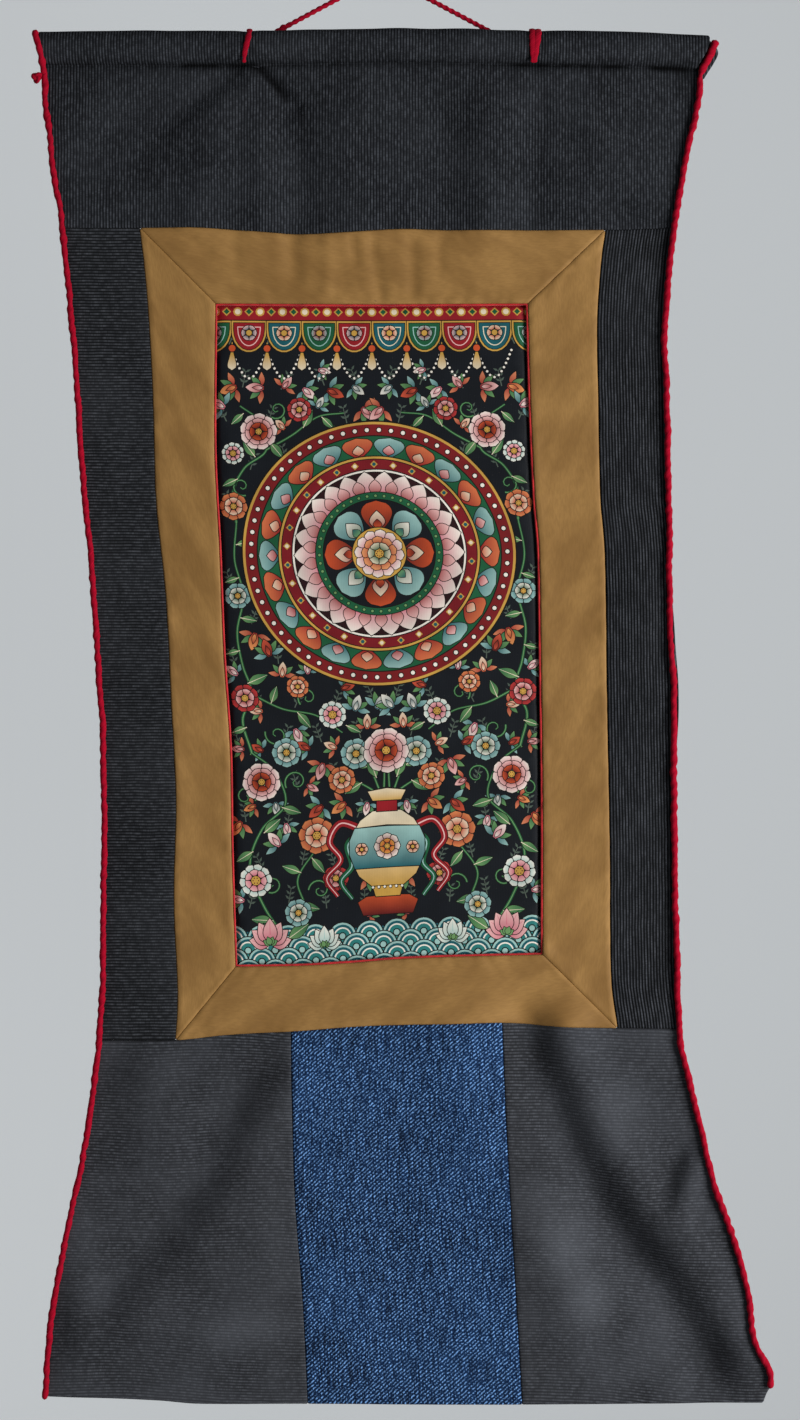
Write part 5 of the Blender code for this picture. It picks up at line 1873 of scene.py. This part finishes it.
# The left yarn beside and over the sleeve: (drop, x)
LEFT_TOP_SIDE = (
    (0.0303, -0.1889), (0.0345, -0.1903), (0.0400, -0.1884), (0.0450, -0.1872),
    (0.0500, -0.1876), (0.0560, -0.1867),
)
KNOT_AT = (-0.1902, -0.0080, 0.0562)
KNOT_RADIUS = (0.0032, 0.0023, 0.0034)
KNOT_YARN = 0.0022
KNOT_TWIST = 0.006
KNOT_TAIL = ((-0.1886, -0.0076, -0.0562), (-0.1872, -0.0074, -0.0564))  # (x, y, z) into the edge yarn
STITCH = 8 * MM  # the couching stitches that pinch each edge yarn
WANDER = 0.6 * MM
EDGE_STEP = 0.0022
LOOSE_TOP = (0.05, 0.16)  # the drops between which the yarn grows tighter


def sleeve_wrap(offset, first, last):
    """Points (y, drop) at a distance outside the sleeve, from one of its rows to another."""
    rows = np.array(SLEEVE)[:, :2]
    along = np.gradient(rows, axis=0)
    along /= np.linalg.norm(along, axis=1)[:, None]
    outside = rows + np.stack([along[:, 1], -along[:, 0]], axis=1) * offset
    return outside[first:last + 1]


def edge_line(side_table, lowest, highest, wander, seed):
    """Points up a side in front of the cloth's edge, wandering a little."""
    drop = np.arange(lowest, highest, -EDGE_STEP)
    loose = 1 + 1.6 * (1 - soft_step(*LOOSE_TOP, drop))
    short_waves = unevenness(drop, drop * 0 + seed + 9, STITCH / 2, 0.45 * wander)
    x = smooth(side_table, drop) + unevenness(drop, drop * 0 + seed, 0.014, wander) * loose + short_waves
    y = cloth_y(x, drop) - STAND_OFF + unevenness(drop, drop * 0 + seed + 3, 0.019, wander)
    return np.stack([x, y, -drop], axis=1)


def lumpy(seed):
    """How much thicker or thinner a yarn is along its run: lumps of wool, and pinches at the stitches."""
    def swell(run):
        beat = run / STITCH + unevenness(run, run * 0 + seed + 5, 0.02, 0.8)
        pinch = 0.10 * np.exp(-((((beat % 1) - 0.5) / 0.14) ** 2))
        return 1.03 - pinch + unevenness(run, run * 0 + seed, 0.004, 0.26)
    return swell


def in_the_mouth(run):
    """The right yarn swells where it turns in at the mouth, after a tight last stitch."""
    from_end = run[-1] - run
    loose = 0.22 * (1 - soft_step(0.0165, 0.0205, from_end))
    tight = 0.36 * np.exp(-(((from_end - 0.0215) / 0.0016) ** 2))
    return lumpy(22)(run) + loose - tight


def fuzzy_yarn(name, line, radius, twist, node, seed, swell=None, hairs=3.0):
    """A yarn with its loose fibres, as one piece."""
    skin = yarn_skin(line, radius, twist, furrow=0.08, swell=swell or lumpy(seed))
    verts, faces, lay = joined((skin, fibres(line, radius, hairs, 1.6 * MM, seed)))
    piece = mesh_piece(name, verts, faces, lay, WOOL)
    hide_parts(node)
    print(name, "faces", len(faces))


over_sleeve = [
    (float(smooth(LEFT_TOP_SIDE, drop)), y, -drop)
    for y, drop in list(sleeve_wrap(STAND_OFF, 2, 4)) + [LEFT_YARN_TOP]
]
into_mouth = [(x, y, -drop) for x, y, drop in MOUTH_RUN]
left_line = edge_line(LEFT_SIDE, LEFT_SIDE[-1][0], 0.0525, WANDER, 1.0)
right_line = edge_line(RIGHT_SIDE, RIGHT_YARN_END, 0.0530, WANDER, 5.0)
for side, line, seed, swell in (
    ("left", np.concatenate([left_line, over_sleeve]), 21, None),
    ("right", np.concatenate([right_line, into_mouth]), 22, in_the_mouth),
):
    fuzzy_yarn(side + "_edge_yarn", line, EDGE_YARN / 2, EDGE_TWIST, "edge_yarn_" + side, seed, swell)

turn = np.linspace(0, 2 * math.pi, 60)
knot = np.stack([
    np.sin(turn) + 2 * np.sin(2 * turn), 1.6 * np.sin(3 * turn), np.cos(turn) - 2 * np.cos(2 * turn),
], axis=1)
knot_size = np.array(KNOT_RADIUS) - 0.0009
knot_line = np.array([KNOT_AT[0], KNOT_AT[1], -KNOT_AT[2]]) + knot / 3.0 * knot_size
knot_line = np.concatenate([knot_line, KNOT_TAIL])
fuzzy_yarn("edge_knot_tied", knot_line, KNOT_YARN / 2, KNOT_TWIST, "edge_knot", 23, hairs=6.0)

# %% [markdown]
# ## Ties
# The rod is bound to the hanging by a yarn pushed through the cloth, once on
# the left and twice on the right. Each strand is pulled flat over the sleeve
# and dives into the groove below it.

# %% Ties
TIE_YARN = 0.0013
GROOVE_DROP = 0.0490
# (x on top, x in the groove, half the width of the strand)
STRANDS = {
    "tie_left": ((-0.0732, -0.0762, 0.0017),),
    "tie_right": ((0.0820, 0.0822, 0.0020), (0.0849, 0.0832, 0.0020)),
}


def tapered(seed):
    """Wool that is pulled thin where it dives into the groove."""
    lumps = lumpy(seed)
    return lambda run: lumps(run) * (0.66 + 0.34 * soft_step(0.001, 0.009, run))


def tie_line(top_x, groove_x):
    """A strand's route from the groove, up over the sleeve and down behind it."""
    wrap = sleeve_wrap(THICK / 2 + TIE_YARN / 2 - 0.0004, 1, 10)
    wrap[0] = (wrap[1][0] + 0.0022, GROOVE_DROP)
    bow = smooth(TOP_EDGE, top_x) - SLEEVE_TOP
    x = top_x + (groove_x - top_x) * soft_step(SLEEVE_TOP, GROOVE_DROP, wrap[:, 1])
    run = np.arange(len(wrap))
    fine = np.linspace(0, len(wrap) - 1, 60)
    rows = (x, wrap[:, 0], -(wrap[:, 1] + bow))
    return np.stack([smooth(np.stack([run, row], axis=1), fine) for row in rows], axis=1)


for node, strands in STRANDS.items():
    parts = []
    for k, (top_x, groove_x, half_width) in enumerate(strands):
        line, flatness = tie_line(top_x, groove_x), half_width / (TIE_YARN / 2)
        parts.append(yarn_skin(
            line, TIE_YARN / 2, 0.010 + 0.002 * k, (1, 0, 0), flatness, 0.08, tapered(31 + k)))
        parts.append(fibres(line, TIE_YARN / 2, 3.0, 1.2 * MM, 41 + k, (1, 0, 0)))
    piece = mesh_piece(node + "_over_the_sleeve", *joined(parts), WOOL)
    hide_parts(node)
print("ties:", sum(len(s) for s in STRANDS.values()), "strands")

# %% [markdown]
# ## Backdrop and light
# A hanging is best shown before plain pale paper. A wide bowl of it stands far
# behind and below the cloth, floor and backdrop in one, and is kept
# from tinting or shading the cloth. The light is a bright overcast sky and a
# large soft lamp from the right, a little in front, that gives the folds their
# shading. A weaker lamp lights the cloth's back, and three light the paper.

# %% Backdrop and light
# (name, size in metres, watts, place, point that it faces)
LAMPS = (
    ("large_soft_lamp", 1.1, 60, (1.80, -1.25, -0.60), (0.0, 0.0, -0.42)),
    ("lamp_from_behind", 1.2, 16, (-1.3, 1.9, 0.1), (0.0, 0.0, -0.42)),
    ("paper_lamp", 1.6, 4.6, (-0.4, 1.0, -1.2), (-0.2, 3.0, -0.7)),
    ("high_paper_lamp", 1.0, 3.8, (-0.1, 1.6, 0.9), (0.0, 3.0, 0.9)),
    ("low_paper_lamp", 1.0, 2.2, (-0.7, 1.6, -1.6), (-0.7, 3.0, -1.6)),
)
SKY, SKY_STRENGTH = (0.96, 0.98, 1.0, 1.0), 0.20
LAMP_COLOUR = (1.0, 0.99, 0.97)
# The paper bowl from its middle outwards: (radius, height)
BOWL = ((0.0, -2.7), (2.0, -2.7), (2.6, -2.6), (2.9, -2.35), (3.0, -2.0), (3.0, 2.6))


def backdrop():
    made, _, surface = new_material("pale_studio_paper", 0.95, 0.1)
    surface["Base Color"].default_value = linear("#F0F5F9")
    row = np.arange(len(BOWL))
    at = np.linspace(0, row[-1], 40)
    radius, height = (smooth(np.stack([row, column], axis=1), at)[:, None] for column in zip(*BOWL))
    turn = np.linspace(0, 2 * math.pi, 97)
    verts = np.stack([
        radius * np.cos(turn), radius * np.sin(turn), np.repeat(height, len(turn), axis=1),
    ], axis=-1).reshape(-1, 3)
    mesh = bpy.data.meshes.new("studio_paper")
    mesh.from_pydata([tuple(v) for v in verts], [], grid_faces(len(at), len(turn)))
    mesh.shade_smooth()
    mesh.materials.append(made)
    paper = bpy.data.objects.new("studio_paper", mesh)
    scene.collection.objects.link(paper)
    paper.visible_diffuse = False
    paper.visible_glossy = False
    paper.visible_shadow = False


def lights():
    world = bpy.data.worlds.new("soft_sky")
    scene.world = world
    world.use_nodes = True
    sky = world.node_tree.nodes["Background"]
    sky.inputs["Color"].default_value = SKY
    sky.inputs["Strength"].default_value = SKY_STRENGTH
    for name, size, energy, place, aim in LAMPS:
        lamp = bpy.data.lights.new(name, "AREA")
        lamp.size = size
        lamp.energy = energy
        lamp.color = LAMP_COLOUR
        made = bpy.data.objects.new(name, lamp)
        made.location = place
        made.rotation_euler = (Vector(aim) - made.location).to_track_quat("-Z", "Y").to_euler()
        made.visible_camera = False
        scene.collection.objects.link(made)


backdrop()
lights()
scene.view_settings.view_transform = "Standard"
print("lamp and paper placed")
